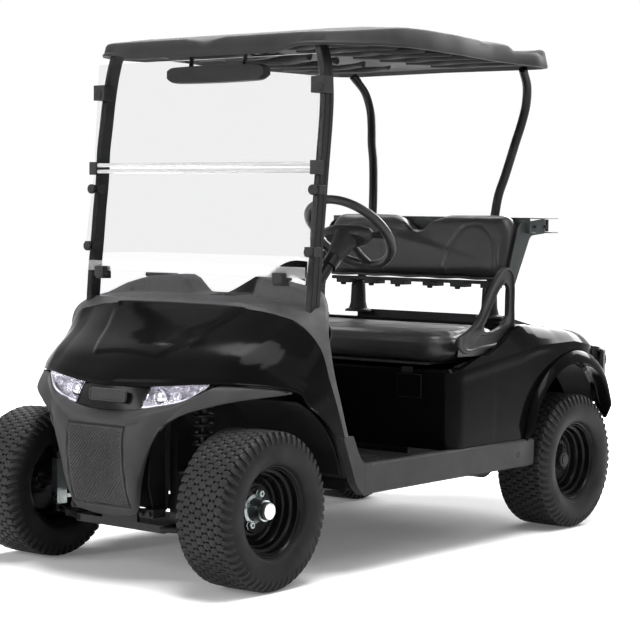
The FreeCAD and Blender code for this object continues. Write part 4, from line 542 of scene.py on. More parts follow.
FACET_Y = [-1.000, -0.929, -0.852, -0.788]
FACET_X = [0.383, 0.406, 0.426, 0.465]


def open_arch(g, radius):
    """Pushes the side walls out of the round wheel arch."""
    dy, dz = g[..., 1] - FRONT_Y, g[..., 2] - AXLE_Z
    r = np.maximum(np.hypot(dy, dz), 1e-6)
    push = np.where((np.abs(g[..., 0]) > 0.5) & (r < radius), radius / r, 1.0)
    g[..., 1] = FRONT_Y + dy * push
    g[..., 2] = AXLE_Z + dz * push
    return g


def middle_normal(b):
    """The way the middle face of a sheet looks."""
    p = [b.v[i] for i in b.f[len(b.f) // 2]]
    return (p[1] - p[0]).cross(p[2] - p[1])


def cowl():
    """The glossy hood with its raised panel, facets and hem."""
    half = [[(x * COWL_HALF, COWL_NOSE + y * COWL_LENGTH, COWL_BASE + z * COWL_RISE) for x, y, z in column]
            for column in COWL_SHARES]
    g = surface(both(half), 241, 97)
    out = normals(g)
    if out[120, 48, 2] < 0:
        out = -out
    x, y = np.abs(g[..., 0]), g[..., 1]
    edge = np.interp(y, PANEL_Y, PANEL_X)
    raised = (1 - step(x, edge - 0.002, edge + 0.011)) * step(y, -1.066, -1.050)
    facet = np.maximum(0, 1 - np.abs(x - np.interp(y, FACET_Y, FACET_X)) / 0.050) * step(y, -1.06, -0.98)
    hem = np.exp(-((np.arange(g.shape[1]) - 5) / 3.0) ** 2)[None, :] * step(x, 0.0, 0.02)
    g = g + out * (0.0070 * raised + 0.0055 * facet - 0.0015 * hem)[..., None]
    g = open_arch(g, ARCH_RADIUS)
    b = Build()
    b.grid(g)
    b.place("cowl_skin", GLOSS, replaces=("front_cowl",), slot="body_gloss", angle=50, solid=0.005,
            offset=-1.0 if middle_normal(b).z > 0 else 1.0)


cowl()


# Bumper and grille
BUMP_HALF, BUMP_NOSE, BUMP_LENGTH, BUMP_BASE, BUMP_HEIGHT, BULGE = 0.562, -1.200, 0.310, 0.195, 0.425, 0.056
BUMP_TOP = [(0, .174, .776), (.107, .18, .78), (.214, .194, .793), (.356, .24, .835), (.48, .33, .87),
            (.587, .44, .94), (.658, .535, .99), (.765, .66, .99), (.872, .83, .977), (.96, .96, .951)]
BUMP_LOW = [(0, .222, 0), (.125, .21, .012), (.25, .187, .064), (.292, .164, .275), (.338, .155, .473),
            (.409, .168, .67), (.534, .24, .788), (.694, .42, .864), (.836, .69, .911), (.957, .945, .94)]
BUMP_BULGES = [1, 1, .94, .72, .5, .34, .2, .1, .04, 0]
BUMP_ROWS = [(0, -0.25), (0, 0), (.06, .42), (.13, .82), (.3, 1), (.6, .86), (.85, .5), (1, 0)]
GRILLE_HALF, GRILLE_LOW, GRILLE_TOP = 0.122, 0.232, 0.486


def bumper_grid():
    """The bumper's front as a grid of points."""
    columns = []
    for top, low, bulge in zip(BUMP_TOP, BUMP_LOW, BUMP_BULGES):
        column = []
        for down, out in BUMP_ROWS:
            share = [l + (t - l) * (1 - down) for t, l in zip(top, low)]
            x = share[0] * BUMP_HALF
            y = BUMP_NOSE + share[1] * BUMP_LENGTH + (0.018 if out < 0 else -bulge * out * BULGE)
            z = BUMP_BASE + share[2] * BUMP_HEIGHT + (0.001 if out < 0 else 0)
            column.append((x, y, z))
        columns.append(column)
    return surface(both(columns), 201, 97)


BUMPER = bumper_grid()


def bumper_y(x, z):
    """The y of the bumper's front at a place near its middle."""
    mid = BUMPER.shape[0] // 2
    near = []
    for i in range(mid - 48, mid + 49):
        column = BUMPER[i, 12:]
        order = np.argsort(column[:, 2])
        near.append((np.interp(z, column[order, 2], column[order, 0]),
                     np.interp(z, column[order, 2], column[order, 1])))
    xs, ys = np.array([n[0] for n in near]), np.array([n[1] for n in near])
    return np.interp(x, xs, ys)


def bumper():
    """The bumper's skin with its seams and the opening for the grille."""
    g = BUMPER.copy()
    x, z = np.abs(g[..., 0]), g[..., 2]
    inside = 1 - step(x, GRILLE_HALF - 0.001, GRILLE_HALF + 0.003)
    inside *= band(z, GRILLE_LOW - 0.002, GRILLE_TOP + 0.002, 0.004)
    front = step(-g[..., 1], 1.12, 1.13)
    g[..., 1] += 0.008 * inside * front
    seam = np.exp(-((z - 0.492 - 0.25 * (x - GRILLE_HALF)) / 0.0022) ** 2)
    seam *= step(x, 0.125, 0.13)
    seam *= 1 - step(x, 0.165, 0.17)
    g[..., 1] += 0.003 * seam * front
    b = Build()
    b.grid(g)
    b.place("bumper_skin", SATIN, replaces=("front_bumper",), slot="trim_satin", angle=50, solid=0.006,
            offset=-1.0 if middle_normal(b).y < 0 else 1.0)


def grille():
    """The dimpled sheet in the bumper's opening, with its dimples smaller towards the edge."""
    b = Build()
    pitch, count_x, count_z = 0.0125, 188, 196
    across = -GRILLE_HALF + 0.002 + (2 * GRILLE_HALF - 0.004) * np.arange(count_x + 1) / count_x
    levels = GRILLE_LOW + 0.002 + (GRILLE_TOP - GRILLE_LOW - 0.004) * np.arange(count_z + 1) / count_z
    x, z = np.meshgrid(across, levels)
    y = np.array([bumper_y(across, level) for level in levels]) + 0.0015
    v = (z - GRILLE_TOP) / pitch
    u = x / pitch
    depth = np.zeros_like(x)
    for shift in (0.0, 0.5):
        cu = np.round(u - shift) + shift
        cv = np.round(v - shift) + shift
        d = np.hypot(u - cu, v - cv) * pitch
        away = np.maximum(np.abs(cu * pitch) / (GRILLE_HALF - 0.012),
                          np.abs(cv * pitch + (GRILLE_TOP - GRILLE_LOW) / 2) / 0.118)
        size = 0.0036 * np.clip(1.35 - 0.75 * away, 0, 1)
        size = np.where(away > 1.0, 0, size)
        depth = np.maximum(depth, np.where(size > 0.0005, 1 - step(d, size * 0.75, size * 1.15 + 1e-5), 0))
    y += 0.0028 * depth
    rim = np.minimum(np.minimum(x + GRILLE_HALF, GRILLE_HALF - x), np.minimum(z - GRILLE_LOW, GRILLE_TOP - z))
    y += 0.007 * (1 - step(rim, 0.001, 0.006))
    b.grid(np.stack([x, y, z], 2))
    b.place("grille_dimples", SATIN, replaces=("grille_panel",), slot="trim_satin", angle=40)


bumper()
grille()


def bumper_back():
    """Black returns behind the bumper, the skid plate and the tow bracket."""
    b = Build()
    for s in (-1, 1):
        outline = [(0.500, -1.10), (0.30, -1.115), (0.21, -1.09), (0.21, -1.05), (0.48, -1.05)]
        b.prism([(y, z) for z, y in outline], s * 0.158, s * 0.166, axis=0)
    b.box(-0.16, 0.16, -1.085, -1.075, 0.225, 0.50)
    b.place("bumper_return", LINER, angle=30, bevel=0.003)
    b = Build()
    for s in (-1, 1):
        plate = rounded_poly([(s * 0.118, 0.215), (s * 0.168, 0.215), (s * 0.182, 0.32), (s * 0.180, 0.462),
                              (s * 0.120, 0.462)], [0.008, 0.010, 0.03, 0.022, 0.02])
        b.prism(plate, -1.048, -1.042, axis=1)
        b.box(s * 0.150 - 0.030, s * 0.150 + 0.030, -1.115, -1.060, 0.200, 0.226)
        for k in (-1, 1):
            b.lathe([(0, 0.009), (0.005, 0.009), (0.006, 0.007), (0.006, 0)],
                    (s * 0.150 + k * 0.016, -1.120, 0.213), axis=1, segments=6, turn=-1)
    b.place("skid_plates", SATIN_DARK, angle=30, bevel=0.0025)


bumper_back()


# Lamps and badge plate
LAMP_TOP = [(0.146, -1.092, 0.606), (0.190, -1.087, 0.611), (0.235, -1.078, 0.615), (0.290, -1.064, 0.619),
            (0.347, -1.046, 0.622)]
LAMP_LOW = [(0.140, -1.134, 0.540), (0.184, -1.126, 0.546), (0.232, -1.112, 0.556), (0.286, -1.091, 0.573),
            (0.347, -1.049, 0.617)]


def lamp_patch(s, back, top=0.0, low=1.0, bulge=0.0, n=40, m=14):
    """The lamp's face, set back from the lens by a depth that closes towards the outer tip."""
    upper, lower = spline(LAMP_TOP, n), spline(LAMP_LOW, n)
    rows = []
    for i in range(n):
        row = []
        tip = 1 - i / (n - 1)
        for k in range(m):
            t = top + (low - top) * k / (m - 1)
            p = upper[i] * (1 - t) + lower[i] * t
            out = bulge * math.sin(math.pi * t) * min(1, tip * 4)
            depth = back * min(1, tip * 3)
            p = p + np.array([0, -1.0, 0.35]) * out + np.array([0, 0.9, -0.25]) * depth
            row.append(Vector((s * p[0], p[1], p[2])))
        rows.append(row)
    return rows


def lamps():
    """Clear lenses over faceted cups with a projector, two reflectors and a light guide."""
    for s, side in SIDES:
        b = Build()
        b.grid(lamp_patch(s, 0.0, bulge=0.006, n=60, m=20), flip=s > 0)
        b.place("lamp_lens_" + side, LENS, angle=60, solid=0.0025, offset=0.0)
        b = Build()
        b.grid(lamp_patch(s, 0.034, top=-0.02, low=1.02, n=60, m=24))
        edge, deep = lamp_patch(s, 0.002, 0.97, 1.0, n=60, m=2), lamp_patch(s, 0.034, 0.97, 1.0, n=60, m=2)
        b.grid([[r[1], q[1]] for r, q in zip(edge, deep)])
        edge, deep = lamp_patch(s, 0.002, 0.0, 0.03, n=60, m=2), lamp_patch(s, 0.034, 0.0, 0.03, n=60, m=2)
        b.grid([[r[0], q[0]] for r, q in zip(edge, deep)], material=1)
        b.grid(lamp_patch(s, 0.004, 0.90, 1.0, n=60, m=6), material=2)
        edge, deep = lamp_patch(s, 0.004, n=60, m=8)[0], lamp_patch(s, 0.034, n=60, m=8)[0]
        b.grid(list(zip(edge, deep)), material=1)
        for k, (x, size) in enumerate(((0.182, 0.024), (0.236, 0.019), (0.284, 0.013))):
            top, low = spline(LAMP_TOP, 40), spline(LAMP_LOW, 40)
            i = int(np.argmin(np.abs(top[:, 0] - x)))
            c = (top[i] + low[i]) / 2 + np.array([0, 0.026, -0.006])
            c[0] *= s
            if k == 0:
                b.lathe([(-0.006, size * 1.12), (0.010, size * 1.16), (0.012, size * 1.02),
                         (0.008, size * 0.96)], c, axis=1, segments=48, turn=-1, material=1)
                b.lathe([(0.006, size * 0.96), (0.012, size * 0.80), (0.016, size * 0.5), (0.0175, 0)], c,
                        axis=1, segments=48, turn=-1, material=3)
            else:
                b.lathe([(0.012, size * 1.25), (0.010, size * 1.22), (0.000, size * 0.9),
                         (-0.006, size * 0.45), (-0.007, 0)], c, axis=1, segments=40, turn=-1, material=0)
        b.place("lamp_inside_" + side, [LAMP_FACET, CHROME, LAMP_WHITE, MIRROR_GLASS], angle=28,
                replaces=("headlamps",) if side == "left" else ())


def badge():
    """The black bezel between the lamps with a blank raised plate."""
    b = Build()
    n = 41
    rows = []
    for t, back in ((0.0, 0.012), (0.02, 0.0), (0.5, -0.004), (0.98, 0.0), (1.0, 0.012)):
        row = []
        for i in range(n):
            x = -0.142 + 0.284 * i / (n - 1)
            top = np.array([x, -1.126 + 0.036 * (x / 0.142) ** 2 * 0.95, 0.608 - 0.002 * (x / 0.142) ** 2])
            low = np.array([x, -1.142 + 0.010 * (x / 0.142) ** 2, 0.527 + 0.012 * (x / 0.142) ** 2])
            p = top * (1 - t) + low * t
            row.append(Vector((p[0], p[1] + back, p[2])))
        rows.append(row)
    b.grid(rows)
    b.place("lamp_band", BEZEL, replaces=("lamp_bezel",), slot="plastic_black", angle=40)
    b = Build()
    centre, half_x, half_z, corner = Vector((0.012, -1.1475, 0.575)), 0.079, 0.0200, 0.014
    outline = rounded_poly([(-half_x, -half_z), (half_x, -half_z), (half_x, half_z), (-half_x, half_z)],
                           corner, 8)
    rings = []
    for shrink, out in ((0.0, -0.004), (0.0, 0.004), (0.0015, 0.0052), (0.0045, 0.0052), (0.006, 0.003),
                        (0.012, 0.003)):
        ring = []
        for px, pz in outline:
            qx = px * (1 - shrink / half_x)
            qz = pz * (1 - shrink / half_z)
            curve = 0.25 * (centre.x + qx) ** 2
            ring.append(centre + Vector((qx, -out + curve, qz)))
        rings.append(ring)
    b.grid(rings, wrap=True)
    b.cap(rings[-1])
    b.place("badge_plate", SATIN, angle=35)


lamps()
badge()


# Rear body
BODY_FRONT, BODY_HALF, BODY_LOW = -0.062, 0.563, 0.300
BODY_PLAN = [(-0.062, 0.508), (-0.050, 0.540), (-0.007, 0.563), (0.200, 0.563), (0.500, 0.563),
             (0.700, 0.562), (0.790, 0.556), (0.860, 0.538), (0.926, 0.503), (1.027, 0.440), (1.085, 0.382),
             (1.120, 0.290), (1.135, 0.180), (1.140, 0.060)]
WELL_HALF, WELL_FRONT, WELL_REAR = 0.336, 0.566, 1.060
CUSHION_HALF, CUSHION_REAR_HALF, CUSHION_REAR = 0.520, 0.452, 0.415
SHOULDER_Y = [-0.062, 0.000, 0.150, 0.190, 0.252, 0.310, 0.370, 0.410, 0.440, 0.480, 0.580, 0.700, 0.790,
              0.850, 0.900, 0.950, 1.020, 1.140]
SHOULDER_Z = [0.623, 0.634, 0.660, 0.668, 0.684, 0.704, 0.727, 0.744, 0.751, 0.751, 0.741, 0.727, 0.715,
              0.703, 0.688, 0.668, 0.652, 0.634]
TAIL_LOW = 0.375


def shoulder(y):
    """Height of the body's top along its side."""
    return float(np.interp(y, SHOULDER_Y, SHOULDER_Z))


def body_crease(y):
    """Height of the crease where the side wall starts, under the sloping shoulder."""
    line = float(np.interp(y, [-0.062, 0.475, 0.710, 0.900, 1.200], [0.608, 0.681, 0.684, 0.655, 0.600]))
    return min(shoulder(y) - 0.013, line)


TAIL_PLAN = [(-0.440, 1.062), (-0.410, 1.098), (-0.330, 1.125), (-0.180, 1.145), (0.0, 1.152), (0.180, 1.145),
             (0.330, 1.125), (0.410, 1.098), (0.440, 1.062)]
FLARE_START, FLARE_END = 163.0, 30.0
FLARE_SECTION = [(0.0, 0.000), (0.10, 0.010), (0.45, 0.024), (0.80, 0.033), (1.0, 0.034), (1.08, 0.030),
                 (1.02, 0.005), (1.02, -0.035)]
FLARE_TURN = [30, 45, 56, 65, 76, 88, 100, 115, 129, 142, 158, 165]
FLARE_OUTER = [0.300, 0.350, 0.384, 0.398, 0.406, 0.408, 0.398, 0.384, 0.372, 0.356, 0.334, 0.326]
FLARE_INNER = [0.280, 0.308, 0.332, 0.348, 0.358, 0.363, 0.366, 0.362, 0.354, 0.344, 0.326, 0.318]


def low_edge(y):
    """Bottom of the side wall: level, open over the wheel, and the tail's underside."""
    turns = np.radians(np.linspace(25, 168, 120))
    reach = np.interp(np.degrees(turns), FLARE_TURN, FLARE_OUTER) - 0.003
    along, height = REAR_Y + np.cos(turns) * reach, AXLE_Z + np.sin(turns) * reach
    arch = float(np.interp(-y, -along, height, left=0, right=0))
    level = BODY_LOW + 0.045 * ease(-y, -0.05, 0.06) if y < 0.5 else TAIL_LOW
    return max(level, arch)


def body_shell():
    """The rear body: top with its bag well, side walls, front and tail."""
    corner, front = 0.055, 13
    ys = np.concatenate([BODY_FRONT + corner * np.linspace(0, 1, front) ** 2, np.linspace(0.0, 0.93, 94),
                         np.linspace(0.94, 1.140, 40)])
    half = hermite(np.array([p[0] for p in BODY_PLAN]), np.array([p[1] for p in BODY_PLAN]), ys)
    round_front = np.clip(1 - (1 - (ys[:front] - BODY_FRONT) / corner) ** 2, 0, 1)
    half[:front] = BODY_HALF - corner + corner * np.sqrt(round_front)
    half = np.minimum(half, 0.5635)
    across = 61
    b = Build()
    top = []
    for y, w in zip(ys, half):
        row = []
        taper = CUSHION_HALF - (CUSHION_HALF - CUSHION_REAR_HALF) * ease(y, 0.05, CUSHION_REAR)
        for i in range(across):
            u = -1 + 2 * i / (across - 1)
            x = w * math.copysign(abs(u) ** 0.72, u)
            far = min(w - abs(x), y - BODY_FRONT + 0.0005, (1.1405 - y) * 1.4 + 0.0005)
            size = shoulder(y) - body_crease(y)
            reach = min(0.070, size * 1.2 + 0.004)
            drop = size * float(np.interp(far / reach, [0, 0.06, 0.36, 0.44, 0.85, 1.0],
                                          [1, 0.95, 0.50, 0.42, 0.05, 0]))
            sunk = 1 - ease(y, 0.424, 0.440)
            sunk *= 1 - ease(abs(x), taper + 0.004, taper + 0.016)
            z = shoulder(y) - drop
            z = z * (1 - sunk) + min(z, 0.617) * sunk
            row.append(Vector((x, y, z)))
        top.append(row)
    verts = [p for row in top for p in row]
    faces = []
    for j in range(len(ys) - 1):
        for i in range(across - 1):
            k = [j * across + i, j * across + i + 1, (j + 1) * across + i + 1, (j + 1) * across + i]
            centre = sum((verts[q] for q in k), Vector()) / 4
            if abs(centre.x) < WELL_HALF and WELL_FRONT < centre.y < WELL_REAR:
                continue
            faces.append(tuple(k))
    b.put(verts, faces)
    rows = 22
    for s in (0, across - 1):
        sign = -1 if s == 0 else 1
        wall = []
        for y, across_row in zip(ys, top):
            edge = across_row[s]
            low = low_edge(y)
            crease = edge.z - 0.016
            line = []
            for k in range(rows):
                t = k / (rows - 1)
                z = edge.z + (min(low, edge.z - 0.02) - edge.z) * t
                bulge = 0.0022 * math.exp(-((z - crease) / 0.010) ** 2) * ease(y, -0.03, 0.0)
                bulge *= 1 - ease(y, 0.45, 0.6)
                tuck = -0.004 * ease(-z, -0.40, -0.33) * ease(y, -0.05, -0.01)
                shift = Vector((sign * (bulge + tuck), 0, 0))
                line.append(Vector((edge.x, edge.y, z)) + shift)
            wall.append(line)
        b.grid(wall, flip=sign > 0)
    for edge, low, flip in ((top[0], low_edge(BODY_FRONT), False), (top[-1], TAIL_LOW, True)):
        b.grid([[Vector((p.x, p.y, p.z + (low - p.z) * k / (rows - 1))) for k in range(rows)] for p in edge],
               flip=flip)
    b.place("body_shell", GLOSS, replaces=("rear_body",), slot="body_gloss", angle=30, weld=True)


def tail_band():
    """The grey band round the tail."""
    b = Build()
    rows = []
    for x, y in spline(TAIL_PLAN, 121):
        away = Vector((x, (y - 0.85) * 2.2, 0)).normalized()
        ring = []
        for k in range(17):
            a = -math.pi / 2 + math.pi * k / 16
            out = 0.058 * max(0, math.cos(a)) ** 0.8 - 0.012
            ring.append(Vector((x, y, 0.590 + 0.052 * math.sin(a))) + away * out)
        rows.append(ring)
    b.grid(rows)
    b.cap(rows[0])
    b.cap(rows[-1], flip=True)
    b.place("tail_band", SATIN, angle=40)


def access_panel():
    """The panel under the seat with its satin frame, lighter than the gloss as painted highlight along the
    panel's edges, and the latch notch over it.
    """
    b = Build()
    # The wider ring is the panel's frame; its lighter satin is painted highlight along the panel's edges.
    for grow, out in ((0.0, 0.0035), (0.0022, 0.0022)):
        panel = rounded_poly([(0.330 - grow, 0.520 - grow), (0.428 + grow, 0.520 - grow),
                              (0.428 + grow, 0.596 + grow), (0.330 - grow, 0.596 + grow)], 0.006, 4)
        b.prism(panel, BODY_FRONT - out, BODY_FRONT + 0.002, axis=1, material=1 if grow else 0)
    b.place("access_panel", [GLOSS, SATIN_DARK], angle=30)
    b = Build()
    b.prism(rounded_poly([(0.352, 0.604), (0.392, 0.604), (0.392, 0.622), (0.352, 0.622)], 0.004, 4),
            BODY_FRONT - 0.010, BODY_FRONT - 0.001, axis=1)
    b.place("latch_notch", LINER, angle=30, bevel=0.001)


def flares():
    """The flares round the rear wheel arches."""
    count = 73
    for s, side in SIDES:
        b = Build()
        rows = []
        for k in range(count):
            turn = FLARE_END + (FLARE_START - FLARE_END) * k / (count - 1)
            a = math.radians(turn)
            outer = float(np.interp(turn, FLARE_TURN, FLARE_OUTER))
            inner = float(np.interp(turn, FLARE_TURN, FLARE_INNER))
            tip = min(1.0, (k + 1) / 6, (count - k) / 6)
            ring = []
            for share, out in FLARE_SECTION:
                r = outer + (inner - outer) * share
                ring.append(Vector((s * (0.562 + out * tip), REAR_Y + math.cos(a) * r,
                                    AXLE_Z + math.sin(a) * r)))
            rows.append(ring)
        b.grid(rows, flip=s > 0)
        b.place("flare_" + side, GLOSS, angle=45, solid=0.003, offset=0.0,
                replaces=("arch_trims",) if s > 0 else ())


body_shell()
tail_band()
access_panel()
flares()


# Canopy
ROOF_HALF, ROOF_FRONT, ROOF_LENGTH, ROOF_TOP, ROOF_UNDER = 0.603, -0.716, 1.380, 1.7575, 1.700
ROOF_PLAN = [(.62, 0), (.765, .008), (.87, .05), (.97, .13), (1, .21), (.985, .34), (.945, .48), (.86, .68),
             (.84, .80), (.845, .90), (.80, .975), (.70, 1)]
ROOF_RINGS = [(0.030, 1.690), (0.012, 1.676), (0.002, 1.677), (0.000, 1.684), (0.006, 1.712), (0.011, 1.7335),
              (0.017, 1.7405), (0.032, 1.7445), (0.085, 1.7485), (0.110, 1.7505), (0.170, 1.7530)]


def roof_outline(count):
    """Points all round the roof, from the middle of its front."""
    half = [(x * ROOF_HALF, ROOF_FRONT + y * ROOF_LENGTH) for x, y in ROOF_PLAN]
    rear = ROOF_FRONT + ROOF_LENGTH
    loop = [(0.0, ROOF_FRONT), (0.2, ROOF_FRONT)] + half + [(0.2, rear), (0.0, rear)]
    loop = loop + [(-x, y) for x, y in reversed(loop[1:-1])]
    loop = rounded_poly(loop, 0.022, 4)
    p = np.array(loop + [loop[0]])
    t = np.concatenate([[0], np.cumsum(np.linalg.norm(np.diff(p, axis=0), axis=1))])
    at = np.linspace(0, t[-1], count, endpoint=False)
    return np.stack([np.interp(at, t, p[:, 0]), np.interp(at, t, p[:, 1])], 1)


def roof_drop(x, y):
    """How far the roof hangs lower: the front bows down, the rear middle lifts."""
    front = 0.020 * (1 - ease(y, -0.716, -0.35)) + 0.010 * (1 - ease(y, -0.716, -0.2))
    rear = 0.012 * ease(y, 0.45, 0.664) * (1 - min(1, abs(x) / 0.45))
    return front - rear


def canopy():
    """The roof's skin with its channels, scoops and notch."""
    n = 240
    loop = roof_outline(n)
    centre = np.array([0.0, -0.03])
    away = np.roll(loop, -1, axis=0) - np.roll(loop, 1, axis=0)
    inward = np.stack([-away[:, 1], away[:, 0]], 1)
    inward /= np.linalg.norm(inward, axis=1, keepdims=True)
    flip = np.sum(inward * (centre - loop), axis=1) < 0
    inward[flip] *= -1
    b = Build()
    rings = []
    for inset, z in ROOF_RINGS:
        ring = []
        for (x, y), d in zip(loop, inward):
            q = np.array([x, y]) + d * inset
            side = ease(abs(x), 0.30, 0.42)
            lip = 0.018 * (1 - side) * (1 if z < 1.70 and inset < 0.03 else 0) * ease(-y, 0.4, 0.6)
            sunk = roof_drop(q[0], q[1]) * (0.25 if z < 1.70 else 1.0)
            ring.append(Vector((q[0], q[1], z - sunk - lip)))
        rings.append(ring)
    outer = rings[-1]
    for k in range(1, 14):
        t = k / 14
        ring = []
        for x, y, z in outer:
            q = centre + (np.array([x, y]) - centre) * (1 - t)
            target = ROOF_TOP - roof_drop(q[0], q[1])
            ring.append(Vector((q[0], q[1], z + (target - z) * math.sin(t * math.pi / 2))))
        rings.append(ring)
    rings.append([Vector((*centre, ROOF_TOP))] * n)
    for ring in rings[5:]:
        for k, p in enumerate(ring):
            x, y = p.x, p.y
            scoop = band(abs(x), 0.20, 0.50, 0.05) * band(y, 0.36, 0.585, 0.04)
            scoop *= 0.5 + 0.5 * ease(abs(x), 0.2, 0.5)
            channel = math.exp(-((abs(x) - 0.505) / 0.012) ** 2) * band(y, -0.45, 0.50, 0.12)
            notch = math.exp(-(x / 0.05) ** 2) * (1 - ease(y, ROOF_FRONT + 0.015, ROOF_FRONT + 0.05))
            ring[k] = Vector((x, y, p.z - 0.020 * float(scoop) - 0.005 * float(channel) - 0.012 * notch))
    b.grid(rings, wrap=True)
    under = [rings[0]]
    for k in range(1, 12):
        t = k / 12
        ring = []
        for x, y, _ in rings[0]:
            q = centre + (np.array([x, y]) - centre) * (1 - t)
            rib = 0.012 * math.sin((q[1] + 0.16 * math.sin(q[0] * 5.0)) * 34) * ease(t, 0.1, 0.3)
            ring.append(Vector((*q, ROOF_UNDER + rib * 0.7)))
        under.append(ring)
    under.append([Vector((*centre, ROOF_UNDER))] * n)
    b.grid(under, wrap=True, flip=True)
    b.place("canopy_shell", ROOF, replaces=("canopy",), slot="canopy_grey", angle=30)


def canopy_ribs():
    """Round ribs across the underside, in pairs."""
    b = Build()
    for k in range(7):
        y0 = -0.50 + k * 0.155
        for s in (-1, 1):
            route = [(s * 0.10, y0, 1.694), (s * 0.22, y0 + 0.03, 1.690), (s * 0.36, y0 - 0.02, 1.688),
                     (s * 0.50, y0 + 0.02, 1.690)]
            b.tube(spline(route, 24), 0.013, 12)
    b.place("canopy_ribs", ROOF, angle=50)


canopy()
canopy_ribs()


# Struts, windshield and mirror
STRUT = [(0.4850, -0.7600, 0.600), (0.4847, -0.7420, 0.700), (0.4845, -0.7238, 0.850),
         (0.4845, -0.7153, 0.950), (0.4830, -0.7056, 1.050), (0.4832, -0.6955, 1.150),
         (0.4823, -0.6843, 1.250), (0.4846, -0.6764, 1.350), (0.4830, -0.6660, 1.430),
         (0.4790, -0.6570, 1.520), (0.4660, -0.6510, 1.610), (0.4460, -0.6480, 1.680)]
REAR_STRUT = [(0.305, 0.530, 0.770), (0.300, 0.545, 0.900), (0.287, 0.570, 1.040), (0.285, 0.588, 1.146),
              (0.292, 0.600, 1.219), (0.305, 0.617, 1.281), (0.320, 0.633, 1.353), (0.335, 0.643, 1.415),
              (0.348, 0.658, 1.478), (0.362, 0.666, 1.550), (0.375, 0.651, 1.613), (0.393, 0.594, 1.676)]


STRUT_SECTION = [(-0.022, -0.0095), (-0.0195, -0.0125), (0.0195, -0.0125), (0.022, -0.0095), (0.022, 0.0095),
                 (0.0195, 0.0125), (0.006, 0.0125), (0.004, 0.0105), (-0.004, 0.0105), (-0.006, 0.0125),
                 (-0.0195, 0.0125), (-0.022, 0.0095)]


def struts():
    """The front struts as open channels, the rear ones as bent tubes with their feet."""
    count = 60
    b = Build()
    for s in (-1, 1):
        pts = spline(STRUT, count)
        rows = []
        for i, p in enumerate(pts):
            d = Vector(pts[min(i + 1, count - 1)] - pts[max(i - 1, 0)]).normalized()
            wide = Vector((0, 1, 0)) - d * d.y
            wide.normalize()
            out = wide.cross(d).normalized()
            if out.x < 0:
                out = -out
            c = Vector(p)
            ring = [c + wide * a + out * o for a, o in STRUT_SECTION]
            rows.append([Vector((s * q.x, q.y, q.z)) for q in ring])
        b.grid(rows, wrap=True, flip=s < 0)
    b.place("front_strut_channels", POWDER, replaces=("front_struts",), slot="steel_black", angle=25)
    b = Build()
    for s in (-1, 1):
        b.tube([(s * x, y, z) for x, y, z in spline(REAR_STRUT, 80)], 0.0165, 28)
        foot = Vector((s * 0.305, 0.530, 0.0))
        b.lathe([(0.765, 0.052), (0.772, 0.050), (0.778, 0.036), (0.800, 0.030), (0.868, 0.027),
                 (0.884, 0.022), (0.886, 0.0166)], foot, axis=2, segments=40, material=1)
    b.place("rear_strut_tubes", [POWDER, MATTE], replaces=("rear_struts",), slot="steel_black", angle=40)


GLASS_HALF, GLASS_LOW, GLASS_HINGE, GLASS_TOP = 0.492, (-0.778, 0.852), (-0.712, 1.288), (-0.690, 1.648)
BAND_LOW, BAND_TOP, HINGE_HALF, HINGE_Y, KNOB_X = 0.943, 0.977, 0.470, -0.716, 0.487
CLAMPS = [
    (0.480, 0.030, 0.022, -0.702, -0.652, 1.520, 1.572),
    (0.486, 0.020, 0.020, -0.745, -0.712, 1.010, 1.040),
    (0.486, 0.020, 0.020, -0.722, -0.690, 1.204, 1.232),
    (0.393, 0.020, 0.020, -0.790, -0.752, 0.925, 0.958),
    (0.393, 0.030, 0.006, -0.772, -0.735, 0.916, 0.940),
]


def windshield():
    """The two panes and the frosted band of the lower one."""
    for name, low, top in (("low", GLASS_LOW, GLASS_HINGE), ("top", GLASS_HINGE, GLASS_TOP)):
        b = Build()
        rows = []
        z0, z1 = low[1] + 0.006, top[1] - 0.006
        for k in range(13):
            t = k / 12
            y, z = low[0] + (top[0] - low[0]) * t, z0 + (z1 - z0) * t
            rows.append([Vector((-GLASS_HALF + 2 * GLASS_HALF * i / 24, y, z)) for i in range(25)])
        b.grid(rows)
        b.place("glass_" + name, ACRYLIC, angle=60, solid=0.005, offset=0.0, bevel=0.0012,
                replaces=("windshield",) if name == "low" else (), slot="screen_clear")
    b = Build()
    slope = (GLASS_HINGE[0] - GLASS_LOW[0]) / (GLASS_HINGE[1] - GLASS_LOW[1])
    y_band = GLASS_LOW[0] + slope * (0.960 - GLASS_LOW[1]) - 0.004
    b.box(-0.488, 0.488, y_band - 0.002, y_band, BAND_LOW, BAND_TOP)
    b.place("glass_band", FROST, angle=60, bevel=0.0008)


def windshield_fittings():
    """The hinge tubes between the panes, the blocks, knobs and clamps."""
    b = Build()
    for dz in (-0.0105, 0.0105):
        z = GLASS_HINGE[1] + dz
        b.tube([(-HINGE_HALF, HINGE_Y, z), (HINGE_HALF, HINGE_Y, z)], 0.0068, 24)
    b.place("hinge_tubes", ACRYLIC_EDGE, angle=60)
    b = Build()
    for s in (-1, 1):
        b.box(s * KNOB_X - 0.016, s * KNOB_X + 0.016, -0.728, -0.700, 1.266, 1.310)
        for y, z in ((-0.706, 1.218), (-0.724, 1.024), (-0.674, 1.541)):
            b.lathe([(-0.014, 0.0), (-0.014, 0.0145), (-0.011, 0.0165), (-0.002, 0.0165), (0.0, 0.0140),
                     (0.022, 0.0135)], (s * KNOB_X, y - 0.018, z), axis=1, segments=28)
        for x, low, high, y0, y1, z0, z1 in CLAMPS:
            b.box(s * x - low, s * x + high, y0, y1, z0, z1)
    b.place("glass_fittings", MATTE, replaces=("windshield_fittings",), slot="plastic_black", angle=30,
            bevel=0.003)


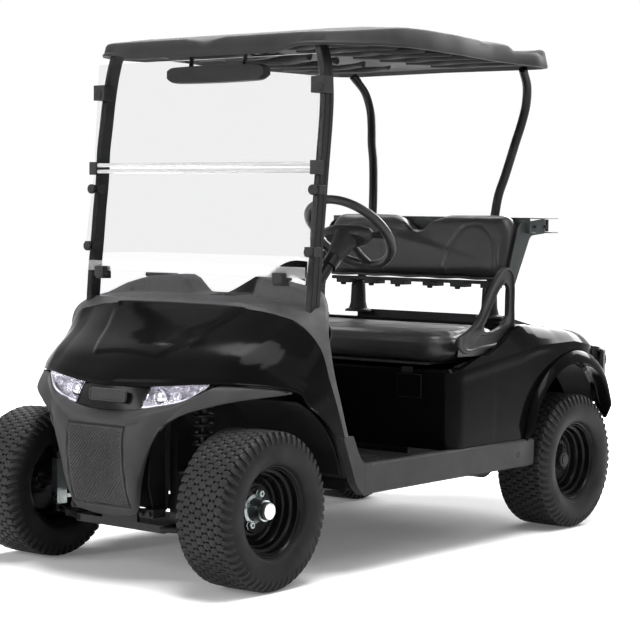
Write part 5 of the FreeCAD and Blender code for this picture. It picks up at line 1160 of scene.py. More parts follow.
def mirror():
    """The wide mirror and its two arms."""
    b = Build()
    n, right, left, wide, mid_x, mid_z = 33, -0.209, 0.222, 0.431, 0.0065, 1.596
    outline = []
    for k in range(n):
        x = right + wide * k / (n - 1)
        end = min(1, (x - right) / 0.03, (left - x) / 0.03)
        outline.append((x, 1.6255 - 0.010 * (1 - max(0, end)) ** 2 - 0.003 * abs(x / 0.2) ** 2))
    for k in range(n):
        x = left - wide * k / (n - 1)
        end = min(1, (x - right) / 0.04, (left - x) / 0.04)
        outline.append((x, 1.567 + 0.016 * (1 - max(0, end)) ** 2 + 0.004 * abs(x / 0.2) ** 2))
    rings = []
    for grow, y in ((0.93, -0.666), (0.98, -0.662), (1.0, -0.652), (1.0, -0.636), (0.985, -0.631),
                    (0.96, -0.631)):
        ring = []
        for x, z in outline:
            off = x - mid_x
            ring.append(Vector((mid_x + off * (1 - (1 - grow) * 0.35), y + 0.10 * off ** 2,
                                mid_z + (z - mid_z) * grow)))
        rings.append(ring)
    b.grid(rings, wrap=True)
    b.cap(rings[0], flip=True)
    b.cap(rings[-1], material=1)
    for s in (-1, 1):
        b.tube([(s * 0.115, -0.640, 1.612), (s * 0.118, -0.632, 1.640), (s * 0.120, -0.628, 1.684)],
               [0.009, 0.007, 0.009], 16)
        b.box(s * 0.120 - 0.024, s * 0.120 + 0.024, -0.650, -0.606, 1.666, 1.688)
    b.place("mirror_case", [MATTE, MIRROR_GLASS], replaces=("mirror",), slot="mirror_back", angle=32)


struts()
windshield()
windshield_fittings()
mirror()


# Dash
DASH_X = [
    [0] * 9,
    [.154] * 9,
    [.286] * 2 + [.287] * 7,
    [.406, .408, .410] + [.411] * 6,
    [.498, .503, .507, .509, .509, .507, .505, .503, .503],
    [.552, .556, .559, .560, .560, .556, .551, .547, .547],
    [.569, .5705, .571, .5715, .5710, .567, .562, .558, .558],
    [.572, .5727, .573, .573, .572, .568, .562, .558, .558],
    [.572, .5727, .573, .573, .572, .568, .562, .558, .558],
]
DASH_Y = [
    [-.797, -.770, -.735, -.700, -.655, -.600, -.578, -.566, -.580],
    [-.797, -.770, -.735, -.700, -.655, -.600, -.578, -.566, -.580],
    [-.804, -.772, -.735, -.700, -.655, -.600, -.578, -.566, -.580],
    [-.790, -.765, -.735, -.700, -.655, -.600, -.580, -.570, -.580],
    [-.785, -.770, -.750, -.728, -.703, -.680, -.668, -.664, -.664],
    [-.762, -.757, -.752, -.747, -.741, -.736, -.733, -.732, -.732],
    [-.738, -.735, -.731, -.727, -.722, -.718, -.716, -.715, -.715],
    [-.700, -.697, -.693, -.689, -.684, -.680, -.678, -.678, -.678],
    [-.663, -.660, -.656, -.651, -.646, -.642, -.640, -.640, -.640],
]
DASH_Z = [
    [.843, .858, .871, .878, .880, .880, .862, .800, .700],
    [.843, .858, .871, .878, .880, .880, .862, .800, .700],
    [.839, .855, .868, .875, .878, .878, .860, .800, .700],
    [.823, .838, .855, .864, .868, .868, .850, .800, .700],
    [.791, .808, .828, .842, .848, .848, .834, .790, .700],
    [.723, .745, .767, .783, .790, .790, .778, .740, .680],
    [.627, .640, .650, .656, .660, .660, .655, .645, .630],
    [.540, .545, .548, .550, .552, .552, .550, .545, .540],
    [.446] * 9,
]
HUMP_X = [-.540, -.517, -.453, -.362, -.254, -.125, -.093, -.048, .054, .100, .171, .256, .300, .422, .484,
          .540]
HUMP_RISE = [0, 0, .006, .031, .050, .056, .043, 0, 0, .022, .058, .052, .046, .030, .004, 0]


def dash():
    """The dash's skin with its humps, pocket, slot and groove."""
    g = surface(both(np.stack([DASH_X, DASH_Y, DASH_Z], 2)), 241, 89)
    x, y = g[..., 0], g[..., 1]
    cabin = (1 - step(y, -0.604, -0.580)) * step(-y, 0.580, 0.590)
    start = 0.050 * step(x, 0.0, 0.05) * (1 - step(x, 0.17, 0.24))
    rise = np.interp(x, HUMP_X, HUMP_RISE) * step(y - start, -0.712, -0.676)
    rise *= np.where(g[..., 2] > 0.80, cabin, 0)
    pocket = band(x - (y + 0.68) * 0.4, 0.062, 0.160, 0.006) * band(y, -0.712, -0.664, 0.006)
    slot = band(x, -0.325, -0.262, 0.008) * band(y, -0.702, -0.690, 0.006)
    seam = np.exp(-((y + 0.722 - 0.02 * np.cos(x * 9)) / 0.0025) ** 2) * step(x, 0.30, 0.32)
    seam *= 1 - step(x, 0.46, 0.48)
    high = g[..., 2] > 0.84
    g[..., 2] += rise - 0.070 * pocket * high - 0.016 * slot * high - 0.0025 * seam
    b = Build()
    b.grid(g)
    for k, face in enumerate(b.f):
        p = sum((b.v[i] for i in face), Vector()) / len(face)
        left_end = 0.075 + (p.z - 0.885)
        if left_end < p.x < 0.190 and -0.668 < p.y < -0.610 and p.z > 0.884:
            b.m[k] = 1
    b.place("dash_shell", [DASH, LINER], replaces=("dash",), slot="dash_grey", angle=38, solid=0.004,
            offset=-1.0 if middle_normal(b).z > 0 else 1.0)


def dash_fittings():
    """The switch blocks on the humps, and the rings and boxes of the cabin side."""
    b = Build()
    b.box(0.250, 0.300, -0.640, -0.600, 0.926, 0.936)
    b.box(-0.30, -0.19, -0.660, -0.612, 0.924, 0.938)
    b.place("dash_switch_block", MATTE, angle=30, bevel=0.003)
    b = Build()
    for s in (-1, 1):
        b.lathe([(-0.010, 0.046), (-0.004, 0.047), (0.001, 0.044), (0.003, 0.030), (0.003, 0.0)],
                (s * 0.40, -0.572, 0.76), axis=1, segments=48)
    b.box(-0.10, 0.10, -0.572, -0.562, 0.72, 0.83)
    b.box(0.03, 0.075, -0.566, -0.556, 0.74, 0.77)
    b.place("dash_fascia", MATTE, angle=30, bevel=0.004)


dash()
dash_fittings()


# Seats
CUSHION_FRONT, CUSHION_CENTRE, CUSHION_SIZE = -0.084, (0, 0.1655, 0.690), (1.040, 0.499, 0.098)


def box_of_points(centre, size, corner, radius):
    """A block with round plan corners and round edges, as one closed sheet of rings."""
    steps = 6
    w, d, h = (v / 2 for v in size)
    plan = rounded_poly([(-w, -d), (w, -d), (w, d), (-w, d)], corner, 10)
    turns = [math.pi / 2 * k / steps for k in range(steps + 1)]
    low = [(radius * (1 - math.sin(a)), -h + radius * (1 - math.cos(a))) for a in turns]
    high = [(r, -z) for r, z in reversed(low)]
    out = []
    for r, z in low + high:
        out.append([Vector((centre[0] + px * (1 - r / w), centre[1] + py * (1 - r / d),
                            centre[2] + z)) for px, py in plan])
    return out


def block_mesh(name, rings, shape):
    """A closed block from rings, moved into place by a function of each point."""
    b = Build()
    b.grid(rings, wrap=True)
    b.cap(rings[0], flip=True)
    b.cap(rings[-1])
    b.v = [shape(v) for v in b.v]
    mesh = bpy.data.meshes.new(name)
    mesh.from_pydata([tuple(v) for v in b.v], [], b.f)
    mesh.validate()
    obj = bpy.data.objects.new(name, mesh)
    bpy.context.collection.objects.link(obj)
    return obj


def apply_all(obj, name):
    """The object's evaluated mesh as its own mesh, without modifiers."""
    graph = bpy.context.evaluated_depsgraph_get()
    mesh = bpy.data.meshes.new_from_object(obj.evaluated_get(graph))
    obj.modifiers.clear()
    obj.data = mesh
    mesh.name = name


def pillow(obj, name, voxel, pressure, cap):
    """Remeshes the block, blows it up as cloth and keeps each point within a cap of where it was."""
    frames = 20
    mod = obj.modifiers.new("remesh", "REMESH")
    mod.mode = "VOXEL"
    mod.voxel_size = voxel
    apply_all(obj, name)
    start = np.array([v.co[:] for v in obj.data.vertices])
    cloth = obj.modifiers.new("cloth", "CLOTH")
    cloth.settings.quality = 5
    cloth.settings.mass = 0.3
    cloth.settings.tension_stiffness = 12
    cloth.settings.compression_stiffness = 12
    cloth.settings.shear_stiffness = 6
    cloth.settings.bending_stiffness = 0.6
    cloth.settings.use_pressure = True
    cloth.settings.uniform_pressure_force = pressure
    cloth.settings.effector_weights.gravity = 0
    cloth.point_cache.frame_start, cloth.point_cache.frame_end = 1, frames
    scene = bpy.context.scene
    for frame_number in range(1, frames + 1):
        scene.frame_set(frame_number)
        bpy.context.view_layer.update()
    apply_all(obj, name)
    scene.frame_set(1)
    now = np.array([v.co[:] for v in obj.data.vertices])
    if now.shape == start.shape and np.isfinite(now).all():
        move = now - start
        far = np.linalg.norm(move, axis=1, keepdims=True)
        start = start + move * np.minimum(1, cap / np.maximum(far, 1e-9))
    return start


def groove(points, path, depth, width, outward):
    """Presses a seam into the points along a path."""
    route = np.array([list(p) for p in path])
    best = np.full(len(points), 1e9)
    for a, c in zip(route[:-1], route[1:]):
        d = c - a
        t = np.clip(((points - a) @ d) / max(float(d @ d), 1e-12), 0, 1)
        best = np.minimum(best, np.linalg.norm(points - (a + t[:, None] * d), axis=1))
    return points - np.asarray(outward) * (depth * np.exp(-(best / width) ** 2))[:, None]


def cushion():
    """The seat cushion with its front roll, two seamed seats and a side seam."""
    taper = 0.068

    def shape(v):
        t = (v.y - CUSHION_FRONT) / CUSHION_SIZE[1]
        share = (CUSHION_HALF - taper * max(0, min(1, t)) ** 1.3) / CUSHION_HALF
        top = (v.z - 0.640) / 0.104
        rise = 0.010 * top * math.cos(min(1, abs(v.x) / CUSHION_HALF) * math.pi / 2)
        scoop = -0.016 * top * math.exp(-((v.y - 0.20) / 0.14) ** 2)
        scoop *= 0.35 + 0.65 * math.exp(-((abs(v.x) - 0.25) / 0.15) ** 2)
        front = 0.012 * (1 - top) * max(0, 1 - t * 5)
        return Vector((v.x * share, v.y + front, v.z + rise + scoop))

    obj = block_mesh("seat_pad", box_of_points(CUSHION_CENTRE, CUSHION_SIZE, 0.110, 0.040), shape)
    p = pillow(obj, "seat_pad", 0.0086, 3.0, 0.007)
    up = np.array([0, 0, 1.0])
    for s in (-1, 1):
        seam = rounded_poly([(s * 0.075, 0.010), (s * 0.385, 0.002), (s * 0.365, 0.330), (s * 0.095, 0.330)],
                            0.07, 8)
        top = p[:, 2] > 0.70
        z = 0.740
        flat = p[top]
        flat[:, 2] = z
        p[top] += groove(flat, [(a, c, z) for a, c in seam + seam[:1]], 0.005, 0.006, up) - flat
    side = np.exp(-((p[:, 2] - 0.716) / 0.0045) ** 2)
    away = p - np.array([0, CUSHION_CENTRE[1], 0.0])
    away[:, 2] = 0
    edge = np.maximum(np.abs(away[:, 0]) / 0.5, np.abs(away[:, 1]) / 0.235)
    away /= np.maximum(np.linalg.norm(away, axis=1, keepdims=True), 1e-9)
    p = p - away * (0.004 * side * (edge > 0.86))[:, None]
    p[:, 2] = np.clip(p[:, 2], 0.641, 0.760)
    finish_pad(obj, p, VINYL, "seat_lid", ("seat_cushion",))


def finish_pad(obj, points, material, body, nodes):
    """Gives a pad its last points, material and smoothing, and lets it ride."""
    obj.data.vertices.foreach_set("co", points.reshape(-1))
    obj.data.update()
    obj.data.materials.clear()
    obj.data.materials.append(material)
    obj.data.shade_smooth()
    mod = obj.modifiers.new("smooth", "SMOOTH")
    mod.factor, mod.iterations = 0.5, 2
    sub = obj.modifiers.new("sub", "SUBSURF")
    sub.levels = sub.render_levels = 1
    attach(obj, body)
    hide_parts(*nodes)


BACK_TILT = math.radians(8)
BACK_PIVOT = Vector((0, 0.500, 0.905))


def back_place(v):
    """From the backrest's own plane (x, out to the front, up) to the cart."""
    c, s = math.cos(BACK_TILT), math.sin(BACK_TILT)
    return Vector((v.x, BACK_PIVOT.y + v.y * c + v.z * s, BACK_PIVOT.z + v.z * c - v.y * s))


def backrest():
    """The backrest's pad with its two seamed backs and the notch between them."""
    half, height, thick = 0.422, 0.242, 0.088
    right = [(half - 0.02, 0, 0.02), (half, 0.02, 0.03), (half + 0.002, height - 0.055, 0.05),
             (half - 0.030, height - 0.006, 0.05), (0.235, height, 0.05), (0.122, height - 0.001, 0.04),
             (0.078, height - 0.020, 0.03), (0.036, height - 0.056, 0.02)]
    left = [(-x, z, radius) for x, z, radius in reversed(right)]
    corners = left[-2:] + right + left[:-2]
    plan = rounded_poly([(x, z) for x, z, _ in corners], [radius for _, _, radius in corners], 7)
    rings = []
    for k in range(15):
        t = -1 + 2 * k / 14
        inset = 0.032 * (1 - math.sqrt(max(0, 1 - t * t)))
        y = t * thick / 2
        ring = []
        for px, pz in plan:
            rise = (inset if pz < height / 2 else -inset) * (0.6 if abs(px) < 0.1 else 1)
            ring.append(Vector((px - math.copysign(min(abs(px), inset), px), y, pz + rise)))
        rings.append(ring)

    def shape(v):
        belly = 0.010 * math.cos(min(1, abs(v.x) / half) * math.pi / 2) * (1 if v.y < 0 else 0)
        return back_place(Vector((v.x, v.y + belly, v.z)))

    obj = block_mesh("back_pad", rings, shape)
    p = pillow(obj, "back_pad", 0.0070, 3.0, 0.0035)
    normal = np.array([0, -math.cos(BACK_TILT), math.sin(BACK_TILT)])
    face = (p - np.array(back_place(Vector((0, 0, height / 2))))) @ normal
    front = face > thick * 0.25
    flat = p[front] - normal * (face[front] - thick / 2)[:, None]
    pressed = flat.copy()
    for s in (-1, 1):
        seam = [(s * 0.145, 0.004), (s * 0.150, 0.070), (s * 0.180, 0.150), (s * 0.225, 0.192),
                (s * 0.300, 0.192), (s * 0.345, 0.150), (s * 0.368, 0.070), (s * 0.370, 0.004)]
        route = [back_place(Vector((a, -thick / 2, c))) for a, c in spline(seam, 50)]
        pressed = groove(pressed, route, 0.0050, 0.0055, normal)
    p[front] += pressed - flat
    finish_pad(obj, p, VINYL, ROOT, ("seat_back",))


def back_fittings():
    """The piping under the backrest, its brackets and their bolts."""
    b = Build()
    along = np.linspace(-0.40, 0.40, 60)
    pipe = [back_place(Vector((x, -0.016, 0.004 + 0.0015 * math.sin(x * 40)))) for x in along]
    b.tube(pipe, 0.0055, 12)
    b.place("back_piping", VINYL_GRAIN, angle=60)
    b = Build()
    for x in (-0.335, -0.20, -0.075, 0.075, 0.20, 0.335):
        b.box(x - 0.032, x + 0.032, 0.470, 0.520, 0.876, 0.893)
        b.lathe([(0.0, 0.0105), (0.006, 0.0105), (0.008, 0.008), (0.008, 0)], (x, 0.474, 0.876), axis=2,
                segments=20, turn=-1)
    b.box(-0.40, 0.40, 0.482, 0.505, 0.889, 0.902)
    b.place("back_hardware", MATTE, angle=30, bevel=0.002)


cushion()
backrest()
back_fittings()


# Hip restraints
HOOP_X, HOOP_SLANT = 0.5738, 0.2093
HOOP = [(-60, 728), (-62, 705), (-40, 688), (130, 681), (300, 684), (400, 702), (432, 735), (436, 820),
        (434, 900), (424, 938), (400, 953), (350, 957), (310, 947), (270, 925), (225, 890), (180, 848),
        (140, 805), (95, 772), (30, 748)]
HOOP_HOLE = [(345, 905), (372, 890), (382, 830), (372, 785), (330, 757), (270, 742), (205, 738), (165, 745),
             (158, 758), (175, 775), (235, 830), (290, 878)]


def hoops():
    """The hoops at the seat's ends and the strip along their feet."""
    for s, side in SIDES:
        b = Build()

        def at(y, z, out):
            x = HOOP_X - HOOP_SLANT * (y - BODY_FRONT) + out
            return Vector((s * x, y + out * HOOP_SLANT, z))

        n = 160
        outer = spline([(y / 1000, z / 1000) for y, z in HOOP + HOOP[:1]], n + 1)[:-1]
        inner = spline([(y / 1000, z / 1000) for y, z in HOOP_HOLE + HOOP_HOLE[:1]], n + 1)[:-1]
        ways = [np.cross(loop[40] - loop[0], loop[80] - loop[0]) for loop in (outer, inner)]
        if ways[0] * ways[1] < 0:
            inner = inner[::-1]
        shift = int(np.argmin([np.linalg.norm(inner[k] - outer[0]) for k in range(n)]))
        inner = np.roll(inner, -shift, axis=0)
        best = min(range(-12, 13),
                   key=lambda k: float(np.sum(np.linalg.norm(np.roll(inner, k, axis=0) - outer, axis=1))))
        inner = np.roll(inner, best, axis=0)
        rings = []
        for t, out in ((0.0, -0.006), (0.0, 0.003), (0.02, 0.0070), (0.08, 0.0080), (0.15, 0.0070),
                       (0.20, 0.0025), (0.50, 0.0015), (0.80, 0.0025), (0.85, 0.0070), (0.92, 0.0080),
                       (0.98, 0.0070), (1.0, 0.003), (1.0, -0.006), (0.9, -0.008), (0.5, -0.008),
                       (0.1, -0.008)):
            rings.append([at(*(o + (i - o) * t), out) for o, i in zip(outer, inner)])
        rings.append(rings[0])
        b.grid(rings, wrap=True, flip=s < 0)
        strip = [(-0.050, 0.684), (0.130, 0.677), (0.300, 0.680), (0.400, 0.697), (0.425, 0.720)]
        section = ((0.004, 0.001), (-0.018, -0.002), (-0.020, -0.012), (0.004, -0.010))
        rows = [[at(y, z + dz, out) for dz, out in section] for y, z in spline(strip, 40)]
        b.grid(rows, wrap=True, flip=s > 0)
        b.place("restraint_" + side, HOOP_BLACK, weld=True, angle=35,
                replaces=("hip_restraints",) if s > 0 else (), slot="plastic_black")


hoops()


# Bag rack
def rack():
    """The bag rack: side plates, the folded channel between them and its bolts."""
    b = Build()
    for s in (-1, 1):
        plate = rounded_poly([(0.438, 0.752), (0.484, 0.752), (0.482, 0.870), (0.592, 1.070), (0.690, 1.078),
                              (0.690, 1.130), (0.520, 1.112), (0.440, 0.900)],
                             [0.004, 0.004, 0.03, 0.02, 0.006, 0.006, 0.03, 0.05], 5)
        b.prism(plate, s * 0.438, s * 0.4335, axis=0)
        b.box(s * 0.438, s * 0.408, 0.440, 0.482, 0.751, 0.757)
    b.box(-0.456, 0.456, 0.560, 0.756, 1.130, 1.134)
    b.box(-0.456, 0.456, 0.560, 0.564, 1.078, 1.134)
    b.box(-0.456, 0.456, 0.705, 0.756, 1.078, 1.082)
    b.box(-0.456, 0.456, 0.560, 0.600, 1.078, 1.082)
    b.place("rack_channel", RACK, replaces=("bag_rack",), slot="rack_steel", angle=30, bevel=0.0015)
    b = Build()
    for s in (-1, 1):
        for k in (0, 1):
            b.lathe([(0, 0.006), (0.003, 0.006), (0.004, 0.004), (0.004, 0)],
                    (s * 0.4410, 0.620 + 0.07 * k, 1.100), axis=0, segments=16, turn=s)
    for s in (-1, 1):
        b.box(s * 0.436 - 0.003, s * 0.436 + 0.004, 0.700, 0.712, 1.084, 1.128)
    b.place("rack_bolts", SATIN_DARK, angle=30)


rack()


# Steering wheel and column
WHEEL_CENTRE, WHEEL_AXIS = Vector((0.25, -0.240, 1.080)), Vector((0, 0.70710678, 0.70710678))


def steering():
    """The steering wheel with its finger dents, spokes and pad."""
    right = Vector((1, 0, 0))
    up = right.cross(WHEEL_AXIS).normalized()
    if up.z < 0:
        up = -up

    def at(a, c, out):
        return WHEEL_CENTRE + right * a + up * c + WHEEL_AXIS * out

    b = Build()
    n, m = 120, 20
    rows = []
    for k in range(n):
        t = 2 * math.pi * k / n
        rim = []
        for j in range(m):
            q = 2 * math.pi * j / m
            grip = 0.0162 + 0.0008 * math.cos(2 * t)
            dent = 0.0012 * max(0, math.cos(q)) * (0.5 + 0.5 * math.cos(t * 18)) if math.sin(t) < 0 else 0
            r = 0.156 + grip * math.cos(q) - dent
            rim.append(at(r * math.cos(t), r * math.sin(t), grip * 0.92 * math.sin(q)))
        rows.append(rim)
    rows.append(rows[0])
    b.grid(rows, wrap=True)
    for base, wide in ((0.0, 0.030), (math.pi, 0.030), (-math.pi / 2, 0.036)):
        rows = []
        for k in range(15):
            t = k / 14
            r = 0.040 + (0.150 - 0.040) * t
            w = wide * (1 - 0.30 * math.sin(math.pi * t)) * 0.5 + 0.006 * t * t
            sink = -0.020 + 0.018 * t
            d = Vector((math.cos(base), math.sin(base), 0))
            e = Vector((-d.y, d.x, 0))
            ring = []
            for a, c in ((-1, 0.4), (-0.8, 1), (0.8, 1), (1, 0.4), (1, -0.6), (0.8, -1), (-0.8, -1),
                         (-1, -0.6)):
                p = d * r + e * (w * a)
                ring.append(at(p.x, p.y, sink + 0.0065 * c))
            rows.append(ring)
        b.grid(rows, wrap=True)
    pad = rounded_poly([(-0.100, -0.010), (-0.052, -0.046), (0.052, -0.046), (0.100, -0.010), (0.104, 0.018),
                        (0.055, 0.034), (-0.055, 0.034), (-0.104, 0.018)], 0.020, 6)
    rings = []
    for grow, out in ((0.80, -0.032), (1.0, -0.020), (1.03, -0.008), (1.0, 0.000), (0.94, 0.005),
                      (0.84, 0.007), (0.80, 0.0055), (0.4, 0.0065), (0.0, 0.007)):
        rings.append([at(px * grow, py * grow, out) for px, py in pad])
    b.grid(rings, wrap=True)
    b.cap(rings[0])
    b.place("steering_grip", GRIP, body="steering", replaces=("steering_wheel",), slot="plastic_black",
            angle=45)


def column():
    """The steering column with its shroud, collar and stalk."""
    b = Build()
    low = Vector((0.25, -0.673, 0.647))
    shroud = [(-0.022, 0.028), (-0.024, 0.043), (-0.040, 0.041), (-0.080, 0.033), (-0.115, 0.027),
              (-0.120, 0.022)]
    b.tube([WHEEL_CENTRE + WHEEL_AXIS * d for d, _ in shroud], [r for _, r in shroud], 40, caps=False)
    collar = [(-0.118, 0.022), (-0.119, 0.027), (-0.160, 0.027), (-0.163, 0.020)]
    b.tube([WHEEL_CENTRE + WHEEL_AXIS * d for d, _ in collar], [r for _, r in collar], 36, material=1)
    b.tube([WHEEL_CENTRE + WHEEL_AXIS * -0.030, low], 0.019, 32, material=1)
    b.tube([WHEEL_CENTRE + WHEEL_AXIS * -0.24, WHEEL_CENTRE + WHEEL_AXIS * -0.58], 0.0225, 32, material=2)
    stalk = WHEEL_CENTRE + WHEEL_AXIS * -0.13
    b.tube([stalk, stalk + Vector((-0.060, -0.005, 0.016)), stalk + Vector((-0.085, -0.006, 0.020))],
           [0.005, 0.005, 0.008], 14, material=1)
    b.place("column_shroud", [MATTE, POWDER, SATIN], replaces=("steering_column",), slot="steel_black",
            angle=40)


steering()
column()


# Sills and floor
def sills():
    """The sills with their front posts and plugs."""
    for s, side in SIDES:
        b = Build()
        section = [(0.536, 0.300), (0.536, 0.346), (0.540, 0.350), (0.566, 0.350), (0.571, 0.345),
                   (0.571, 0.262), (0.566, 0.254), (0.548, 0.252), (0.544, 0.258), (0.544, 0.300)]
        ys = [-0.560, -0.556, -0.30, 0.0, 0.30, 0.430, 0.436]
        rows = []
        for y in ys:
            pinch = 0.003 if y in (ys[0], ys[-1]) else 0
            rows.append([Vector((s * (x - pinch * (1 if x > 0.55 else -1)), y,
                                 z + pinch * (1 if z < 0.30 else -1))) for x, z in section])
        b.grid(rows, wrap=True, flip=s < 0)
        b.cap(rows[0])
        b.cap(rows[-1], flip=True)
        post = rounded_poly([(-0.560, 0.252), (-0.520, 0.252), (-0.520, 0.350), (-0.560, 0.352),
                             (-0.585, 0.380), (-0.618, 0.446), (-0.668, 0.446), (-0.640, 0.385),
                             (-0.600, 0.290)], [0.004, 0.001, 0.001, 0.01, 0.02, 0.004, 0.004, 0.03, 0.02], 5)
        b.prism(post, s * 0.5385, s * 0.5705, axis=0)
        b.place("sill_" + side, SATIN, angle=32, replaces=("sills",) if s > 0 else (), slot="trim_satin",
                bevel=0.0015)
        b = Build()
        b.lathe([(-0.002, 0.0), (-0.002, 0.0060), (0.0008, 0.0075), (0.0008, 0.0095), (0.0, 0.0100)],
                (s * 0.571, 0.330, 0.300), axis=0, segments=24, turn=s)
        b.place("sill_plug_" + side, LINER, angle=30)


def floor_mat():
    """The floor mat's ribs and the tread plates beside it."""
    b = Build()
    for k in range(34):
        x = -0.50 + k / 33
        b.box(x - 0.0055, x + 0.0055, -0.555, -0.085, 0.3235, 0.3275)
    b.place("mat_ribs", MAT, angle=30, bevel=0.0012, segments=1)
    b = Build()
    for s in (-1, 1):
        for k in range(16):
            y = -0.52 + k * 0.026
            b.box(s * 0.524 - 0.008, s * 0.524 + 0.008, y - 0.0045, y + 0.0045, 0.3235, 0.3290)
    b.place("tread_plate", SATIN_DARK, angle=30, bevel=0.001, segments=1)


sills()
floor_mat()


for node, paint in (
    ("frame", POWDER), ("front_suspension", POWDER), ("front_springs", POWDER), ("knuckle_left", ZINC),
    ("knuckle_right", ZINC), ("tie_rods", ZINC), ("floor_pan", MAT), ("bag_well", MATTE),
    ("rear_bumper", SATIN), ("wheel_liners", LINER), ("seat_pan", MATTE), ("seat_back_frame", POWDER),
    ("pedals", MATTE), ("rear_axle", POWDER), ("rear_springs", POWDER), ("battery_pack", BATTERY),
):
    coat(node, paint)


# Stage
FLOOR_HALF, FLOOR_GLOW, FLOOR_NEAR, FLOOR_FAR, WORLD_LIGHT = 30, 0.10, 1.5, 3.6, 0.14
CAMERA_PLACE, CAMERA_YAW, CAMERA_PITCH, CAMERA_ROLL = (4.278, -5.395, 1.162), 38.868, 3.321, 0.632
CAMERA_LENS, CAMERA_SENSOR, CAMERA_SHIFT = 108.73, 36.0, 0.58 / 640


def seen_white(tree):
    """How far a ray is one that shows the backdrop: from the camera, or through glass or off gloss."""
    path = tree.nodes.new("ShaderNodeLightPath")
    one = tree.nodes.new("ShaderNodeMath")
    one.operation = "MAXIMUM"
    tree.links.new(path.outputs["Is Camera Ray"], one.inputs[0])
    tree.links.new(path.outputs["Is Transmission Ray"], one.inputs[1])
    two = tree.nodes.new("ShaderNodeMath")
    two.operation = "MAXIMUM"
    tree.links.new(one.outputs[0], two.inputs[0])
    tree.links.new(path.outputs["Is Glossy Ray"], two.inputs[1])
    return two.outputs[0]


def backdrop(name):
    """A floor that shows white and keeps the object's shadow; its own glow grows away from the object."""
    m = bpy.data.materials.new(name)
    m.use_nodes = True
    tree = m.node_tree
    tree.nodes.clear()
    out = tree.nodes.new("ShaderNodeOutputMaterial")
    diffuse = tree.nodes.new("ShaderNodeBsdfDiffuse")
    diffuse.inputs[0].default_value = (0.94, 0.94, 0.94, 1)
    glow = tree.nodes.new("ShaderNodeEmission")
    glow.inputs[0].default_value = (1, 1, 1, 1)
    place = tree.nodes.new("ShaderNodeNewGeometry")
    far = tree.nodes.new("ShaderNodeVectorMath")
    far.operation = "LENGTH"
    tree.links.new(place.outputs["Position"], far.inputs[0])
    own = tree.nodes.new("ShaderNodeMapRange")
    own.interpolation_type = "SMOOTHSTEP"
    own.inputs["From Min"].default_value, own.inputs["From Max"].default_value = FLOOR_NEAR, FLOOR_FAR
    own.inputs["To Min"].default_value, own.inputs["To Max"].default_value = FLOOR_GLOW, 1.0
    tree.links.new(far.outputs["Value"], own.inputs["Value"])
    share = tree.nodes.new("ShaderNodeMath")
    share.operation = "MULTIPLY"
    tree.links.new(own.outputs[0], share.inputs[1])
    together = tree.nodes.new("ShaderNodeAddShader")
    tree.links.new(seen_white(tree), share.inputs[0])
    tree.links.new(share.outputs[0], glow.inputs[1])
    tree.links.new(diffuse.outputs[0], together.inputs[0])
    tree.links.new(glow.outputs[0], together.inputs[1])
    tree.links.new(together.outputs[0], out.inputs[0])
    return m


def sky():
    """White behind the object, and a plain level of light from all round."""
    world = bpy.data.worlds.new("studio")
    world.use_nodes = True
    tree = world.node_tree
    tree.nodes.clear()
    out = tree.nodes.new("ShaderNodeOutputWorld")
    seen, lit = tree.nodes.new("ShaderNodeBackground"), tree.nodes.new("ShaderNodeBackground")
    seen.inputs[0].default_value = lit.inputs[0].default_value = (1, 1, 1, 1)
    seen.inputs[1].default_value = 1.0
    lit.inputs[1].default_value = WORLD_LIGHT
    mix = tree.nodes.new("ShaderNodeMixShader")
    tree.links.new(seen_white(tree), mix.inputs[0])
    tree.links.new(lit.outputs[0], mix.inputs[1])
    tree.links.new(seen.outputs[0], mix.inputs[2])
    tree.links.new(mix.outputs[0], out.inputs[0])
    return world


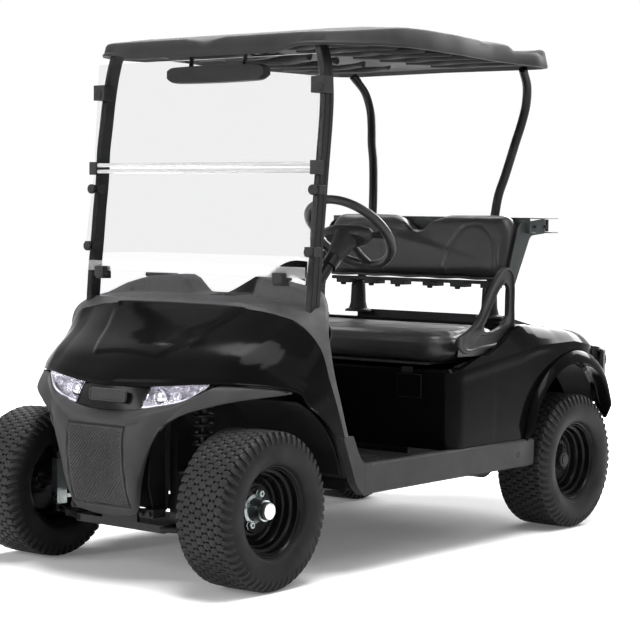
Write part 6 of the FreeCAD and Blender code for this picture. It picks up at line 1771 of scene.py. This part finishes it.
def stage():
    """The photo's camera, the floor, the sky and the soft boxes."""
    scene = bpy.context.scene
    scene.view_settings.view_transform = "Standard"
    camera = bpy.data.cameras.new("camera")
    camera.lens = CAMERA_LENS
    camera.sensor_width = CAMERA_SENSOR
    camera.shift_x = CAMERA_SHIFT
    eye = bpy.data.objects.new("camera", camera)
    scene.collection.objects.link(eye)
    yaw, pitch, roll = math.radians(CAMERA_YAW), math.radians(CAMERA_PITCH), math.radians(CAMERA_ROLL)
    look = Vector((-math.sin(yaw) * math.cos(pitch), math.cos(yaw) * math.cos(pitch), -math.sin(pitch)))
    right = look.cross(Vector((0, 0, 1))).normalized()
    up = right.cross(look)
    r2 = right * math.cos(roll) + up * math.sin(roll)
    u2 = -right * math.sin(roll) + up * math.cos(roll)
    turn = Matrix((r2, u2, -look)).transposed()
    eye.matrix_world = Matrix.Translation(CAMERA_PLACE) @ turn.to_4x4()
    scene.camera = eye

    floor = bpy.data.meshes.new("floor")
    far = FLOOR_HALF
    floor.from_pydata([(-far, -far, 0), (far, -far, 0), (far, far, 0), (-far, far, 0)], [], [(0, 1, 2, 3)])
    ground = bpy.data.objects.new("floor", floor)
    scene.collection.objects.link(ground)
    floor.materials.append(backdrop("floor"))
    scene.world = sky()

    def lamp(name, place, aim, size_x, size_y, power, diffuse=1.0):
        """A soft box aimed at a point; its share of plain light can be turned down."""
        data = bpy.data.lights.new(name, "AREA")
        data.shape = "RECTANGLE"
        data.size, data.size_y = size_x, size_y
        data.energy = power
        data.diffuse_factor = diffuse
        light = bpy.data.objects.new(name, data)
        scene.collection.objects.link(light)
        light.visible_camera = False
        light.location = place
        light.rotation_euler = (Vector(aim) - Vector(place)).to_track_quat("-Z", "Y").to_euler()

    lamp("top", (-0.3, 0.2, 4.6), (0.0, 0.0, 0), 2.2, 5.6, 620)
    lamp("top_fill", (2.2, 0.0, 5.2), (0.4, 0, 0), 3.6, 6.0, 130)
    lamp("rear", (-0.6, 5.4, 3.3), (0, 0.3, 0.7), 4.0, 2.4, 420, diffuse=0.4)
    lamp("left_strip", (5.0, -1.0, 2.2), (0, 0, 0.7), 1.2, 3.5, 34)
    lamp("corner_strip", (-1.3, -6.6, 1.2), (0.4, 0, 0.5), 0.5, 3.0, 150, diffuse=0.10)
    lamp("front", (-2.5, -5.5, 2.6), (0, -0.8, 0.6), 2.0, 2.0, 95)


stage()
